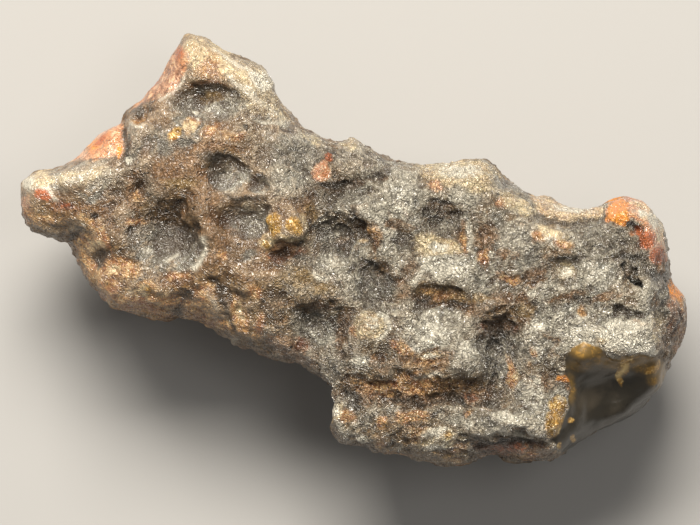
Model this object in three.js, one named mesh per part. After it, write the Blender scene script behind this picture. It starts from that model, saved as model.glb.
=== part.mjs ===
// A rough agate nodule lying on its back: one solid stone, in millimetres, +Z up.
//
// Its origin is on the plane that it rests on, under the middle of its bounding box. +X runs along
// the stone, from the small knob to the end with the polished cap, and +Y towards the horn.
//
// The stone is an implicit body. An outline, as seen from above, is puffed up to a top and down to
// an underside round a wavy middle level, and each side carries its own swells, dimples, ledges and
// grooves. Scoops bite into the flanks. A surface net turns the body into one closed mesh, and the
// underside is worn flat where it meets the resting plane.

import * as THREE from "three";
import { ImprovedNoise } from "three/addons/math/ImprovedNoise.js";

// ---------------------------------------------------------------- driving dimensions

const TOP_ROUND_OVER = 7.5; // how far in from the outline the top keeps curving
const UNDERSIDE_ROUND_OVER = 9.0;
const TOP_FULLNESS = 3.0; // 2 gives a round flank, more gives a boxier one
const UNDERSIDE_FULLNESS = 2.2;
const FLANK_NOISE = 0.8; // height of the lumps on the flanks and the underside
const TOP_NOISE = 0.35; // and on the top
const LUMP_SPANS = [9.0, 4.2]; // width of the broad lumps and of the small ones
const RELIEF_WANDER = 0.75; // how far the edges of the relief stray sideways
const RELIEF_WANDER_SPAN = 2.9; // and over what distance they sway to and fro
const LEVEL_WANDER = 2.0; // the same for the widest level, up and down
const LEVEL_WANDER_SPAN = 11;
const FLANK_WANDER = 6.0; // and for the flanks, sideways
const FLANK_WANDER_SPAN = 16;
const FLANK_WANDER_DEPTH = 9; // how far below the widest level they have their full sway

// How thick the stone is at stations along it: x, y, then the heights of the top, of the widest
// level and of the underside, before the relief. The resting plane is at 0.
const STATIONS = [
  [-36, 6, 23.0, 18.5, 13.0], // small knob
  [-29, 7, 25.0, 18.0, 9.5],
  [-29, -1, 24.0, 16.5, 8.0],
  [-21, 4, 26.5, 15.5, 3.0],
  [-19, 21, 24.5, 19.0, 11.5], // horn
  [-14, 14, 26.5, 17.0, 6.0],
  [-20, -5, 25.0, 18.5, 6.0],
  [-10, 4, 27.0, 15.0, 2.5],
  [-8, -9, 25.5, 18.5, 4.5],
  [-3, 11, 26.0, 18.5, 7.0],
  [1, 0, 27.0, 15.0, 1.0],
  [-1, -18, 25.0, 19.0, 7.0],
  [10, 6, 26.5, 17.5, 3.5],
  [8, -9, 28.0, 15.0, -1.0],
  [8, -21, 25.6, 20.5, 4.0],
  [20, -3, 27.0, 14.0, -0.5],
  [20, -19, 26.0, 19.5, 2.0],
  [27, 3, 26.5, 17.0, 4.5],
  [29, -9, 27.5, 14.0, 1.5],
  [31, -17, 23.5, 18.5, 4.0], // chipped corner
  [33, 3, 26.0, 18.5, 7.5], // polished cap
  [36, -7, 24.5, 14.5, 6.0], // blunt end
];
const STATION_BLEND = 2.0; // the heights stay those of a station for about this far round it
const STATION_FALLOFF = 3.5; // power of the distance by which a station's say fades

const CELL = 1.34; // spacing of the surface net, except below TOP_ZONE
const TOP_ZONE = 20; // height above which the net is as fine upwards as it is sideways
const COARSE_LAYER = 2.2; // its spacing upwards below that height
const HALF_LENGTH = 42; // half-extents of the space that the net covers, and its height
const HALF_WIDTH = 29;
const HEADROOM = 33;

// ---------------------------------------------------------------- outline, seen from above

const OUTLINE = [
  // the small knob, then the shoulder up to the foot of the horn
  [-38.1, 6.6], [-37.6, 8.3], [-36.2, 8.95], [-34.6, 9.1], [-33.0, 10.0], [-31.2, 11.2],
  [-29.5, 12.7], [-28.2, 13.7], [-26.7, 14.1], [-26.1, 14.7],
  // the horn
  [-25.8, 15.9], [-24.2, 17.4], [-22.7, 19.2], [-21.4, 21.5], [-20.3, 23.7], [-19.5, 24.7],
  [-18.2, 24.8], [-16.6, 23.9], [-14.6, 22.4], [-12.4, 21.5], [-10.9, 20.8], [-9.8, 19.3],
  [-8.9, 17.6], [-7.4, 15.9], [-6.2, 14.4], [-4.2, 13.2], [-2.4, 12.35], [-1.2, 12.1],
  // the long saddle and its two bumps
  [-0.4, 12.65], [0.6, 12.1], [1.8, 11.1], [4.3, 10.4], [7.2, 9.8], [10.6, 9.7], [12.6, 9.75],
  [14.2, 10.1], [15.4, 9.6], [17.0, 7.9], [18.6, 6.95], [20.6, 6.2], [22.2, 6.1], [24.2, 5.2],
  [26.6, 4.6],
  // the polished cap and the blunt end
  [28.4, 5.1], [29.8, 5.85], [31.4, 6.0], [33.1, 5.4], [34.3, 3.9], [35.2, 1.6], [35.7, -1.0],
  [35.9, -2.9], [36.8, -4.2], [37.8, -5.5], [37.9, -6.9], [37.6, -9.2], [36.9, -11.1],
  [35.9, -12.6], [35.5, -14.8], [34.4, -16.3], [32.4, -17.7], [30.6, -19.2], [28.3, -20.1],
  // the lower edge, back to the notch beside the brown block
  [26.6, -21.1], [24.6, -22.3], [22.9, -23.6], [20.8, -24.05], [18.4, -23.85], [16.3, -23.2],
  [14.4, -23.2], [12.8, -24.2], [10.8, -24.75], [8.4, -24.2], [5.6, -23.5], [2.8, -22.9],
  [0.6, -22.15], [-1.4, -21.95], [-2.7, -20.5], [-3.5, -18.9], [-3.1, -17.4], [-3.0, -16.4],
  // the lower edge of the knobbed half
  [-4.3, -15.0], [-5.9, -13.3], [-7.6, -12.8], [-9.4, -12.7], [-10.9, -11.6], [-13.2, -10.8],
  [-15.0, -9.6], [-16.6, -8.6], [-18.8, -7.8], [-20.4, -7.5], [-21.9, -7.95], [-24.0, -7.4],
  [-27.4, -6.5], [-28.9, -5.2], [-30.6, -3.7], [-31.7, -1.4], [-32.5, 0.5], [-34.2, 1.5],
  [-36.6, 2.0], [-37.6, 3.3], [-38.0, 5.0],
];

// ---------------------------------------------------------------- relief of the top
//
// Each entry gives its place first. turn is in degrees, anticlockwise seen from above.

// Broad swells: x, y, half-widths along and across, turn, height.
const TOP_SWELLS = [
  // the horn
  [-18.4, 21.6, 1.7, 3.4, 8, 1.2],
  [-12.4, 19.4, 1.5, 2.8, 38, 1.0],
  [-16.2, 20.3, 3.4, 1.0, -8, 0.7],
  [-21.6, 16.6, 1.4, 2.4, -32, 0.9],
  // the small knob and its shoulder
  [-32.0, 7.9, 6.0, 1.3, 12, 1.5],
  [-28.2, 1.6, 3.2, 1.7, -34, 0.8],
  [-25.6, -4.4, 4.4, 1.7, -12, 1.3],
  // round the great basin
  [-19.8, 9.7, 2.4, 2.2, 0, 1.0],
  [-16.6, 3.0, 1.0, 4.8, 6, 1.3],
  [-15.5, -5.6, 0.8, 3.6, 24, 1.1],
  [-16.5, 13.0, 6.0, 1.1, -3, 0.9],
  // the saddle and the yellow lip
  [-8.0, 8.6, 1.5, 4.4, 10, 1.3],
  [-7.7, 2.6, 2.1, 1.9, 30, 1.1],
  [-9.0, -3.2, 6.0, 1.5, -10, 1.1],
  [-11.7, -4.9, 1.1, 1.0, 0, 0.5],
  // along the upper edge
  [-0.2, 11.9, 1.1, 1.0, 0, 0.9],
  [4.9, 6.4, 2.4, 2.0, 0, 0.9],
  [13.2, 8.3, 3.4, 1.5, -6, 1.4],
  [18.4, 5.6, 3.4, 0.8, -32, 0.8],
  [25.0, 4.7, 3.2, 1.0, -6, 0.8],
  // between the middle dimples
  [5.7, -1.6, 1.9, 1.5, 0, 0.8],
  [11.0, -2.0, 3.2, 1.0, 0, 0.9],
  [18.4, 1.2, 3.0, 3.0, 0, 0.6],
  [22.6, 1.7, 2.0, 1.5, -14, 1.4],
  [27.6, -3.2, 3.0, 1.6, -10, 0.6],
  [17.0, -6.0, 3.6, 0.9, -6, 1.1],
  [1.7, -8.8, 1.5, 1.8, 0, 1.3],
  [8.8, -10.3, 3.6, 0.8, 4, 0.8],
  [12.2, -12.2, 1.7, 1.5, 0, 1.3],
  [21.3, -9.6, 1.8, 3.2, 0, 0.9],
  [30.8, -9.6, 3.8, 1.5, 0, 1.2],
  // the brown block and the lower edge
  [6.5, -13.2, 6.0, 0.9, -2, 0.9],
  [3.6, -19.6, 3.6, 1.5, 6, 0.6],
  [10.4, -20.6, 3.4, 2.0, -10, 0.9],
  [-2.5, -18.9, 0.9, 1.5, 0, 1.0],
  [16.4, -19.4, 1.9, 0.9, 4, 0.7],
  [20.2, -19.9, 2.4, 1.0, -6, 1.0],
  // the polished cap and the chipped window
  [31.2, 4.3, 2.5, 1.4, -8, 2.2],
  [33.9, 1.2, 1.0, 2.6, 14, 1.5],
  [26.0, -11.7, 1.8, 1.1, 4, 1.1],
  [23.0, -18.7, 0.6, 1.7, -14, 0.9],
];

// Dimples: x and y of the deepest point, half-width across, reach uphill, reach downhill, turn, depth.
const TOP_DIMPLES = [
  [-16.3, 16.9, 4.7, 2.4, 3.8, 4, 2.0], // scoop in the horn
  [-15.0, 8.9, 3.0, 1.8, 2.9, 0, 1.9],
  [-11.0, 7.6, 1.5, 1.3, 1.8, -12, 1.0],
  [-12.2, 4.2, 3.1, 1.7, 4.4, -12, 1.7],
  [-21.2, 3.2, 4.9, 3.8, 5.6, 0, 3.2], // great basin
  [-24.4, 6.8, 1.3, 2.4, 2.6, 0, 1.1],
  [-29.2, -1.2, 1.8, 1.2, 1.6, 20, 0.8],
  [-35.0, 4.2, 1.8, 0.9, 1.6, 0, 0.8],
  [-19.6, -5.6, 1.6, 1.2, 1.8, 0, 1.0],
  [-13.2, -6.0, 0.8, 2.6, 2.6, 32, 1.1],
  [-6.4, 11.0, 2.0, 0.9, 1.3, 0, 0.8],
  [-8.0, -0.6, 2.1, 1.1, 1.7, 12, 0.9], // hollow under the yellow lip
  [-1.6, 2.2, 4.3, 2.4, 5.6, -12, 2.8], // great middle dimple
  [-0.8, 7.0, 3.4, 1.6, 2.6, -4, 1.9],
  [2.9, 8.1, 1.5, 0.9, 1.5, -12, 0.8],
  [2.3, -2.6, 2.7, 1.8, 7.0, 0, 2.0], // trough
  [-4.4, -7.7, 3.8, 1.7, 5.2, 6, 2.1],
  [10.1, 3.6, 2.6, 2.0, 4.4, 0, 1.6],
  [5.7, 1.4, 2.0, 0.9, 2.2, 4, 0.9],
  [9.4, -5.9, 4.0, 1.8, 3.8, 0, 1.7], // lens dimple
  [16.3, -11.0, 3.3, 4.6, 5.0, 4, 2.2], // dark valley
  [16.0, -15.4, 2.0, 3.0, 3.4, 0, 1.2],
  [24.0, -1.9, 2.1, 1.2, 1.8, 4, 1.4],
  [20.9, -3.2, 1.3, 0.8, 1.0, 38, 0.7],
  [15.0, 2.0, 1.0, 2.2, 2.4, 0, 0.8],
  [31.3, -3.1, 1.9, 1.0, 1.1, -42, 1.9], // deep hole
  [31.0, -7.0, 3.2, 1.0, 2.0, 4, 1.0],
  [26.0, -5.7, 1.7, 0.9, 1.4, 10, 1.0],
  [31.2, 2.2, 1.3, 0.9, 1.6, 0, 0.6],
  [3.2, -12.2, 2.2, 0.9, 1.2, 10, 0.7],
  [3.0, -15.6, 2.4, 1.2, 1.5, -14, 0.8],
  [7.4, -16.2, 2.0, 1.1, 1.4, 12, 0.8],
  [11.4, -15.6, 2.4, 1.2, 1.6, 10, 0.8],
  [5.4, -17.4, 1.4, 0.8, 1.0, 16, 0.5],
  [-0.5, -16.8, 1.0, 1.5, 1.8, 0, 0.9],
  [12.6, -17.4, 1.2, 0.9, 1.2, -20, 0.8],
  [28.6, -17.0, 6.0, 4.6, 3.6, 30, 1.4], // chipped window
];

// Ledges: the path of the foot of a small cliff, its drop, and how far back the high side reaches.
// The high side is on the left of the path.
const TOP_LEDGES = [
  [[[-10.2, 0.0], [-8.2, 0.8], [-6.4, 1.3], [-5.8, 2.8], [-5.0, 4.6]], 1.3, 1.8], // yellow lip
  [[[-20.7, 16.2], [-20.0, 18.2], [-18, 19.2], [-15, 18.8], [-13, 17.8], [-12.4, 16]], 0.5, 1.8],
  [[[-18.2, 8.6], [-17.3, 10.1], [-15.3, 10.8], [-13.1, 10.3], [-12.3, 9.1]], 0.9, 1.4],
  [[[-14.6, 4.4], [-13.0, 5.9], [-11.2, 6.0], [-9.6, 5.2], [-9.3, 3.4], [-9.6, 1.4]], 0.9, 1.2],
  [[[-17.4, 4.2], [-16.9, 1.0], [-17.4, -1.0], [-19.2, -2.5]], 0.9, 1.4],
  [[[-4.4, 7.0], [-3.2, 8.3], [-0.8, 8.6], [1.6, 8.7], [3.9, 8.2]], 0.8, 1.4],
  [[[-2.0, 4.4], [-0.2, 4.2], [1.4, 3.5], [2.3, 2.2], [2.6, 0.6], [2.3, -0.6]], 1.3, 1.6],
  [[[-0.1, -6.0], [-0.1, -3.0], [0.5, -1.5], [1.8, -0.9], [3.2, -1.2], [5.2, -4.6]], 0.9, 1.3],
  [[[-8.4, -8.6], [-7.4, -6.6], [-5.0, -6.0], [-2.6, -6.0], [-1.2, -7.0]], 1.0, 1.6],
  [[[-0.3, -6.6], [-0.2, -9.5], [-0.5, -14.4]], 1.2, 2.0],
  [[[7.8, 3.8], [8.2, 5.5], [10.0, 5.8], [11.7, 5.0], [12.6, 3.2]], 0.9, 1.4],
  [[[3.2, 4.4], [4.2, 2.9], [5.7, 2.1], [7.4, 2.5]], 0.8, 1.3],
  [[[5.6, -6.2], [7.0, -4.7], [9.2, -4.3], [12.0, -4.6], [13.8, -5.6]], 0.8, 1.5],
  [[[21.7, -1.8], [23.2, -0.9], [25.6, -1.4]], 0.8, 1.2],
  [[[28.3, -7.0], [29.6, -6.2], [31.4, -6.9], [33.2, -6.4], [34.2, -7.2]], 0.6, 1.2],
  [[[0.2, -15.0], [1.8, -13.9], [3.6, -14.1], [4.8, -14.9]], 0.7, 1.2],
  [[[5.4, -14.3], [7.4, -14.1], [8.8, -14.8], [10.2, -15.4]], 0.5, 1.1],
  [[[10.4, -13.8], [12.2, -13.9], [13.8, -14.9]], 0.6, 1.1],
  [[[9.8, -18.6], [6.6, -18.0], [4.0, -18.7], [1.6, -18.0]], 0.7, 1.2],
  [[[13.4, -22.4], [15.0, -21.0], [19.0, -21.1], [22.8, -22.0]], 2.2, 2.4],
  [[[35.1, -12.8], [34.8, -8.0], [34.7, -2.4]], 3.2, 2.6],
  [[[27.6, -11.9], [31.0, -11.9], [34.6, -12.3]], 1.2, 1.6],
  [[[-26.0, 14.8], [-26.3, 10.2]], 2.6, 2.4],
  [[[-26.6, 10.2], [-29.5, 10.3], [-32.8, 9.9]], 0.7, 1.6],
];

// Grooves: path, depth, half-width.
const TOP_GROOVES = [
  [[[20.2, 5.2], [21.4, 3.8], [22.6, 3.2], [25.0, 3.1], [28.4, 3.4]], 1.4, 0.7],
  [[[-16.9, -2.6], [-15.9, -5.0], [-14.2, -9.4]], 0.8, 0.6],
  [[[15.6, 0.4], [15.4, -2.0], [17.0, -4.2]], 0.5, 0.7],
  [[[28.3, 4.6], [28.4, 3.2], [30.4, 2.7], [32.2, 2.4], [32.6, 0.6], [33.6, -1.4]], 0.7, 0.6],
];

// ---------------------------------------------------------------- relief of the underside

const UNDERSIDE_SWELLS = [
  [-18.0, 5.5, 7.5, 5.5, 20, 4.8], // the three bosses that the stone stands on
  [12.0, -13.0, 7.0, 4.5, -10, 1.6],
  [20.0, 0.5, 6.0, 4.0, -15, 2.6],
  [-5.0, -4.0, 5.0, 3.0, 30, 0.6],
  [-30.0, 7.5, 4.0, 2.4, 20, 0.8],
  [31.0, -9.0, 3.0, 5.0, 10, 0.8],
];

// Reach uphill is towards +Y here too.
const UNDERSIDE_DIMPLES = [
  [-12.5, 13.5, 4.2, 3.6, 4.2, 20, 2.6],
  [-3.0, 3.5, 4.6, 3.4, 3.6, -10, 2.4],
  [7.5, 4.2, 3.4, 2.6, 3.4, 10, 1.9],
  [4.0, -9.0, 3.6, 3.4, 3.8, 0, 2.1],
  [-11.0, -3.5, 3.8, 3.0, 3.2, -20, 1.9],
  [-26.5, -0.5, 2.8, 2.6, 2.8, 0, 1.5],
  [27.2, -13.6, 3.4, 2.8, 3.4, -30, 1.8],
  [28.5, -2.5, 3.0, 2.6, 2.6, 0, 1.6],
  [8.0, -19.2, 3.0, 1.8, 2.2, 0, 1.2],
  [-20.0, 16.0, 2.4, 2.4, 2.8, 0, 1.3],
  [22.5, -7.0, 2.2, 1.6, 2.0, 25, 1.1],
  [-33.5, 5.0, 1.8, 1.4, 1.6, 0, 0.8],
];

const UNDERSIDE_LEDGES = [
  [[[-8.0, -9.5], [-2.0, -11.5], [2.0, -15.0]], 1.4, 3.0],
  [[[24.0, 3.0], [15.0, 5.2], [8.0, 8.0]], 1.5, 3.0],
];

const UNDERSIDE_GROOVES = [
  [[[-16.5, 9.5], [-14.0, 2.0], [-15.5, -6.0]], 1.2, 1.3],
];

// Scoops out of the flanks: share of the way round the outline, height, radius of the ball that
// cuts it, and how far the ball reaches in from the outline. Those near the widest level stay shallow.
const FLANK_SCOOPS = [
  [0.015, 7.5, 3.6, 1.6],
  [0.06, 8.0, 5.0, 2.6],
  [0.1, 4.0, 4.2, 4.2],
  [0.135, 9.5, 4.2, 2.0],
  [0.175, 6.0, 5.4, 3.2],
  [0.225, 8.5, 4.6, 2.6],
  [0.262, 3.5, 5.0, 4.6],
  [0.3, 9.0, 5.0, 2.4],
  [0.345, 5.5, 4.8, 3.4],
  [0.385, 8.8, 4.2, 2.2],
  [0.42, 4.6, 5.2, 4.0],
  [0.455, 9.2, 4.4, 2.4],
  [0.49, 5.6, 5.0, 3.2],
  [0.535, 8.6, 5.4, 2.8],
  [0.575, 4.2, 4.4, 4.0],
  [0.615, 8.6, 5.2, 2.7],
  [0.64, 19.5, 3.4, 1.3],
  [0.66, 4.4, 4.6, 3.8],
  [0.7, 9.4, 5.0, 2.4],
  [0.735, 5.0, 4.8, 3.8],
  [0.765, 20.0, 3.6, 1.6],
  [0.78, 9.0, 4.4, 2.2],
  [0.825, 5.6, 5.0, 3.4],
  [0.865, 8.6, 4.6, 2.4],
  [0.905, 4.8, 4.6, 3.8],
  [0.945, 8.8, 4.6, 2.4],
  [0.975, 4.6, 3.6, 3.0],
];
const SCOOP_BLEND = 0.8; // how softly a scoop meets the flank

// ---------------------------------------------------------------- small helpers

const noise = new ImprovedNoise();

// Smooth noise from about -0.7 to 0.7 whose waves are as long as the given span.
const wave = (x, y, z, span) => noise.noise(x / span, y / span, z / span);

const smoothStep = (t) => THREE.MathUtils.smoothstep(t, 0, 1);

// Smooth maximum of two field values, rounded over the given width.
function softMax(a, b, width) {
  const overlap = Math.max(width - Math.abs(a - b), 0) / width;
  return Math.max(a, b) + (overlap * overlap * width) / 4;
}

// The point (x, y) in a frame at (cx, cy) turned by the given angle.
function turned(x, y, cx, cy, degrees) {
  const angle = THREE.MathUtils.degToRad(degrees);
  const dx = x - cx;
  const dy = y - cy;
  return [
    dx * Math.cos(angle) + dy * Math.sin(angle),
    dy * Math.cos(angle) - dx * Math.sin(angle),
  ];
}

// Nearest point of a path: the distance to it, signed positive on the left, and how far the foot
// lies from the nearer end of the path.
function nearestOnPath(x, y, path) {
  let best = { distance: Infinity, side: 1, fromStart: 0 };
  let travelled = 0;
  for (let i = 0; i + 1 < path.length; i++) {
    const [ax, ay] = path[i];
    const dx = path[i + 1][0] - ax;
    const dy = path[i + 1][1] - ay;
    const length = Math.hypot(dx, dy);
    const along = ((x - ax) * dx + (y - ay) * dy) / length;
    const foot = THREE.MathUtils.clamp(along, 0, length);
    const distance = Math.hypot(x - ax - (dx * foot) / length, y - ay - (dy * foot) / length);
    if (distance < best.distance) {
      const side = dx * (y - ay) - dy * (x - ax) >= 0 ? 1 : -1;
      best = { distance, side, fromStart: travelled + foot };
    }
    travelled += length;
  }
  return {
    signed: best.side * best.distance,
    fromEnd: Math.min(best.fromStart, travelled - best.fromStart),
  };
}

// ---------------------------------------------------------------- relief of one side

const swell = (x, y, [cx, cy, wide, high, turn, height]) => {
  const [u, v] = turned(x, y, cx, cy, turn);
  return height * Math.exp(-((u / wide) ** 2) - (v / high) ** 2);
};

const dimple = (x, y, [cx, cy, wide, up, down, turn, depth]) => {
  const [u, v] = turned(x, y, cx, cy, turn);
  const q = (u / wide) ** 2 + (v / (v > 0 ? up : down)) ** 2;
  return q < 1 ? -depth * (1 - q) ** 1.5 : 0;
};

const LEDGE_FACE = 0.9; // run of the cliff itself
const LEDGE_END = 1.5; // a ledge or groove dies out over this length at each end

const ledge = (x, y, [path, drop, reach]) => {
  const { signed, fromEnd } = nearestOnPath(x, y, path);
  if (signed < 0 || signed > 3 * reach) return 0;
  const rise = smoothStep(signed / LEDGE_FACE);
  return drop * rise * Math.exp(-((signed / reach) ** 2)) * smoothStep(fromEnd / LEDGE_END);
};

const groove = (x, y, [path, depth, half]) => {
  const { signed, fromEnd } = nearestOnPath(x, y, path);
  return -depth * Math.exp(-((signed / half) ** 2)) * smoothStep(fromEnd / LEDGE_END);
};

function relief(atX, atY, swells, dimples, ledges, grooves) {
  const sway = (layer) => RELIEF_WANDER * wave(atX, atY, layer, RELIEF_WANDER_SPAN);
  const x = atX + sway(2);
  const y = atY + sway(15);
  const total = (list, shape) => list.reduce((sum, entry) => sum + shape(x, y, entry), 0);
  return total(swells, swell) + total(dimples, dimple) + total(ledges, ledge) + total(grooves, groove);
}

// ---------------------------------------------------------------- inset from the outline

const RIM_POINTS = 1200;
const RIM_SOFTNESS = 0.25;

const rimCurve = new THREE.CatmullRomCurve3(
  OUTLINE.map(([x, y]) => new THREE.Vector3(x, y, 0)),
  true,
  "centripetal",
);
const rim = rimCurve.getSpacedPoints(RIM_POINTS);
const rimStep = rimCurve.getLength() / RIM_POINTS;

function insideRim(x, y) {
  let inside = false;
  for (let i = 0; i + 1 < rim.length; i++) {
    const a = rim[i];
    const b = rim[i + 1];
    if (a.y > y !== b.y > y && x < a.x + ((b.x - a.x) * (y - a.y)) / (b.y - a.y)) inside = !inside;
  }
  return inside;
}

// A smooth distance in from the outline: like the true one beside a straight edge, less in a narrow
// lobe, and negative outside. A fourth power of the distance to every rim point sums to PI / 2 over
// the cube of the distance beside a straight edge.
function inset(x, y) {
  let sum = 0;
  for (let i = 0; i + 1 < rim.length; i++) {
    const squared = (x - rim[i].x) ** 2 + (y - rim[i].y) ** 2 + RIM_SOFTNESS ** 2;
    sum += rimStep / (squared * squared);
  }
  const distance = Math.cbrt(Math.PI / 2 / sum) - RIM_SOFTNESS;
  return insideRim(x, y) ? distance : -distance;
}

// The centre of each flank scoop and its radius, with the outline running clockwise.
const scoops = FLANK_SCOOPS.map(([share, z, radius, reach]) => {
  const at = rimCurve.getPointAt(share);
  const along = rimCurve.getTangentAt(share);
  const out = radius - reach;
  return [at.x - along.y * out, at.y + along.x * out, z, radius];
});

// ---------------------------------------------------------------- the body

// Sizes of the zones in which the lumps fade in, above and below the widest level.
const FLANK_FADE = 6;
const TOP_FADE = 4;
const FADE_OVERLAP = 1;
const RIM_SHARE = 0.45; // share of the round-over, from the inside, that is as smooth as the top
const LUMP_LIFT = 0.3; // raises the lumps of the underside a little into the stone

function lumps(x, y, z) {
  return wave(x, y, z, LUMP_SPANS[0]) + 0.5 * wave(x + 30, y, z, LUMP_SPANS[1]);
}

// The three heights at a place, blended from the stations by nearness.
function heights(x, y) {
  const blend = [0, 0, 0];
  let total = 0;
  for (const [sx, sy, ...levels] of STATIONS) {
    const weight = Math.hypot(x - sx, y - sy, STATION_BLEND) ** -STATION_FALLOFF;
    levels.forEach((level, n) => (blend[n] += weight * level));
    total += weight;
  }
  return blend.map((sum) => sum / total);
}

// What one column of the stone needs to know, which doesn't change with height.
function column(x, y) {
  const [top, middle, under] = heights(x, y);
  return {
    inset: inset(x, y),
    middle: middle + LEVEL_WANDER * wave(x, y, 50, LEVEL_WANDER_SPAN),
    top: top + relief(x, y, TOP_SWELLS, TOP_DIMPLES, TOP_LEDGES, TOP_GROOVES),
    under:
      under -
      relief(x, y, UNDERSIDE_SWELLS, UNDERSIDE_DIMPLES, UNDERSIDE_LEDGES, UNDERSIDE_GROOVES),
  };
}

// The smooth inset at a depth below the widest level, where the flank sways sideways.
function swayingInset(x, y, z, depth) {
  const reach = FLANK_WANDER * smoothStep(depth / FLANK_WANDER_DEPTH);
  const dx = reach * wave(x, y, z + 180, FLANK_WANDER_SPAN);
  const dy = reach * wave(x + 90, y, z, FLANK_WANDER_SPAN);
  return inset(x + dx, y + dy);
}

// Negative inside the stone, positive outside, and close to millimetres near its surface.
function field(x, y, z, at) {
  const above = z > at.middle;
  const round = above ? TOP_ROUND_OVER : UNDERSIDE_ROUND_OVER;
  const reach = above ? at.inset : swayingInset(x, y, z, at.middle - z);
  const fullness = above ? TOP_FULLNESS : UNDERSIDE_FULLNESS;
  const edge = Math.max(0, 1 - reach / round);
  const level = (z - at.middle) / ((above ? at.top : at.under) - at.middle);
  let value = ((edge ** fullness + level ** fullness) ** (1 / fullness) - 1) * round;
  value = Math.max(value, -at.inset);

  const low = smoothStep((at.middle - z + FADE_OVERLAP) / FLANK_FADE);
  const high = smoothStep((z - at.middle - FADE_OVERLAP) / TOP_FADE);
  const onTop = THREE.MathUtils.lerp(TOP_NOISE, FLANK_NOISE, smoothStep(2 * (edge - RIM_SHARE)));
  value += FLANK_NOISE * low * (lumps(x, y, z) + LUMP_LIFT);
  value += onTop * high * lumps(x, y, z);

  for (const [cx, cy, cz, radius] of scoops) {
    const bite = radius - Math.hypot(x - cx, y - cy, z - cz);
    if (bite > -SCOOP_BLEND * 2) value = softMax(value, bite, SCOOP_BLEND);
  }
  return Math.max(value, -z); // worn flat where it rests
}

// ---------------------------------------------------------------- surface net

const SETTLE_STEPS = 2;
const SETTLE_PROBE = 0.2; // half the span over which the field's slope is taken
const SETTLE_MOST = 0.3; // longest move of one step
const CELL_MARGIN = 0.06; // share of a cell that its vertex keeps clear of each face

// The corners of a cell, whose number holds a bit for each axis, and the pairs that its edges join.
const corners = [];
const edges = [];
for (let n = 0; n < 8; n++) {
  corners.push([n & 1, (n >> 1) & 1, n >> 2]);
  for (const bit of [1, 2, 4]) if (!(n & bit)) edges.push([n, n | bit]);
}

// Whether the corners that are marked all hang together along the cell's edges.
function joined(marked) {
  const label = corners.map((corner, n) => n);
  for (let pass = 0; pass < 3; pass++)
    for (const [a, b] of edges)
      if (marked[a] && marked[b]) label[a] = label[b] = Math.min(label[a], label[b]);
  return new Set(label.filter((value, n) => marked[n])).size < 2;
}

// Fills the corners at which two parts of the surface would touch, so that it never pinches.
function unpinch(values, place, [nx, ny, nz]) {
  for (let again = true; again; ) {
    again = false;
    for (let k = 0; k + 1 < nz; k++)
      for (let j = 0; j + 1 < ny; j++)
        for (let i = 0; i + 1 < nx; i++) {
          const at = corners.map(([a, b, c]) => place(i + a, j + b, k + c));
          const inside = at.map((spot) => values[spot] < 0);
          if (joined(inside) && joined(inside.map((solid) => !solid))) continue;
          const outside = at.filter((spot) => values[spot] >= 0);
          outside.sort((a, b) => values[a] - values[b]);
          values[outside[0]] = -0.01;
          again = true;
        }
  }
}

// Slides a vertex, given by its share of the way across its cell, along the slope of the field until
// it lies on the surface, without leaving the cell or coming close to a neighbour in the next one.
function settle(share, near, size) {
  const at = share.clone().multiply(size).add(near);
  const value = (dx, dy, dz) =>
    field(at.x + dx, at.y + dy, at.z + dz, column(at.x + dx, at.y + dy));
  for (let step = 0; step < SETTLE_STEPS; step++) {
    const slope = new THREE.Vector3(
      value(SETTLE_PROBE, 0, 0) - value(-SETTLE_PROBE, 0, 0),
      value(0, SETTLE_PROBE, 0) - value(0, -SETTLE_PROBE, 0),
      value(0, 0, SETTLE_PROBE) - value(0, 0, -SETTLE_PROBE),
    ).divideScalar(2 * SETTLE_PROBE);
    const travel = -value(0, 0, 0) / slope.length();
    at.addScaledVector(slope.normalize(), THREE.MathUtils.clamp(travel, -SETTLE_MOST, SETTLE_MOST));
  }
  const margin = size.clone().multiplyScalar(CELL_MARGIN);
  const low = near.clone().add(margin);
  const high = near.clone().add(size).sub(margin);
  at.clamp(low, high);
  at.z = Math.max(at.z, 0);
  return at;
}

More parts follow.
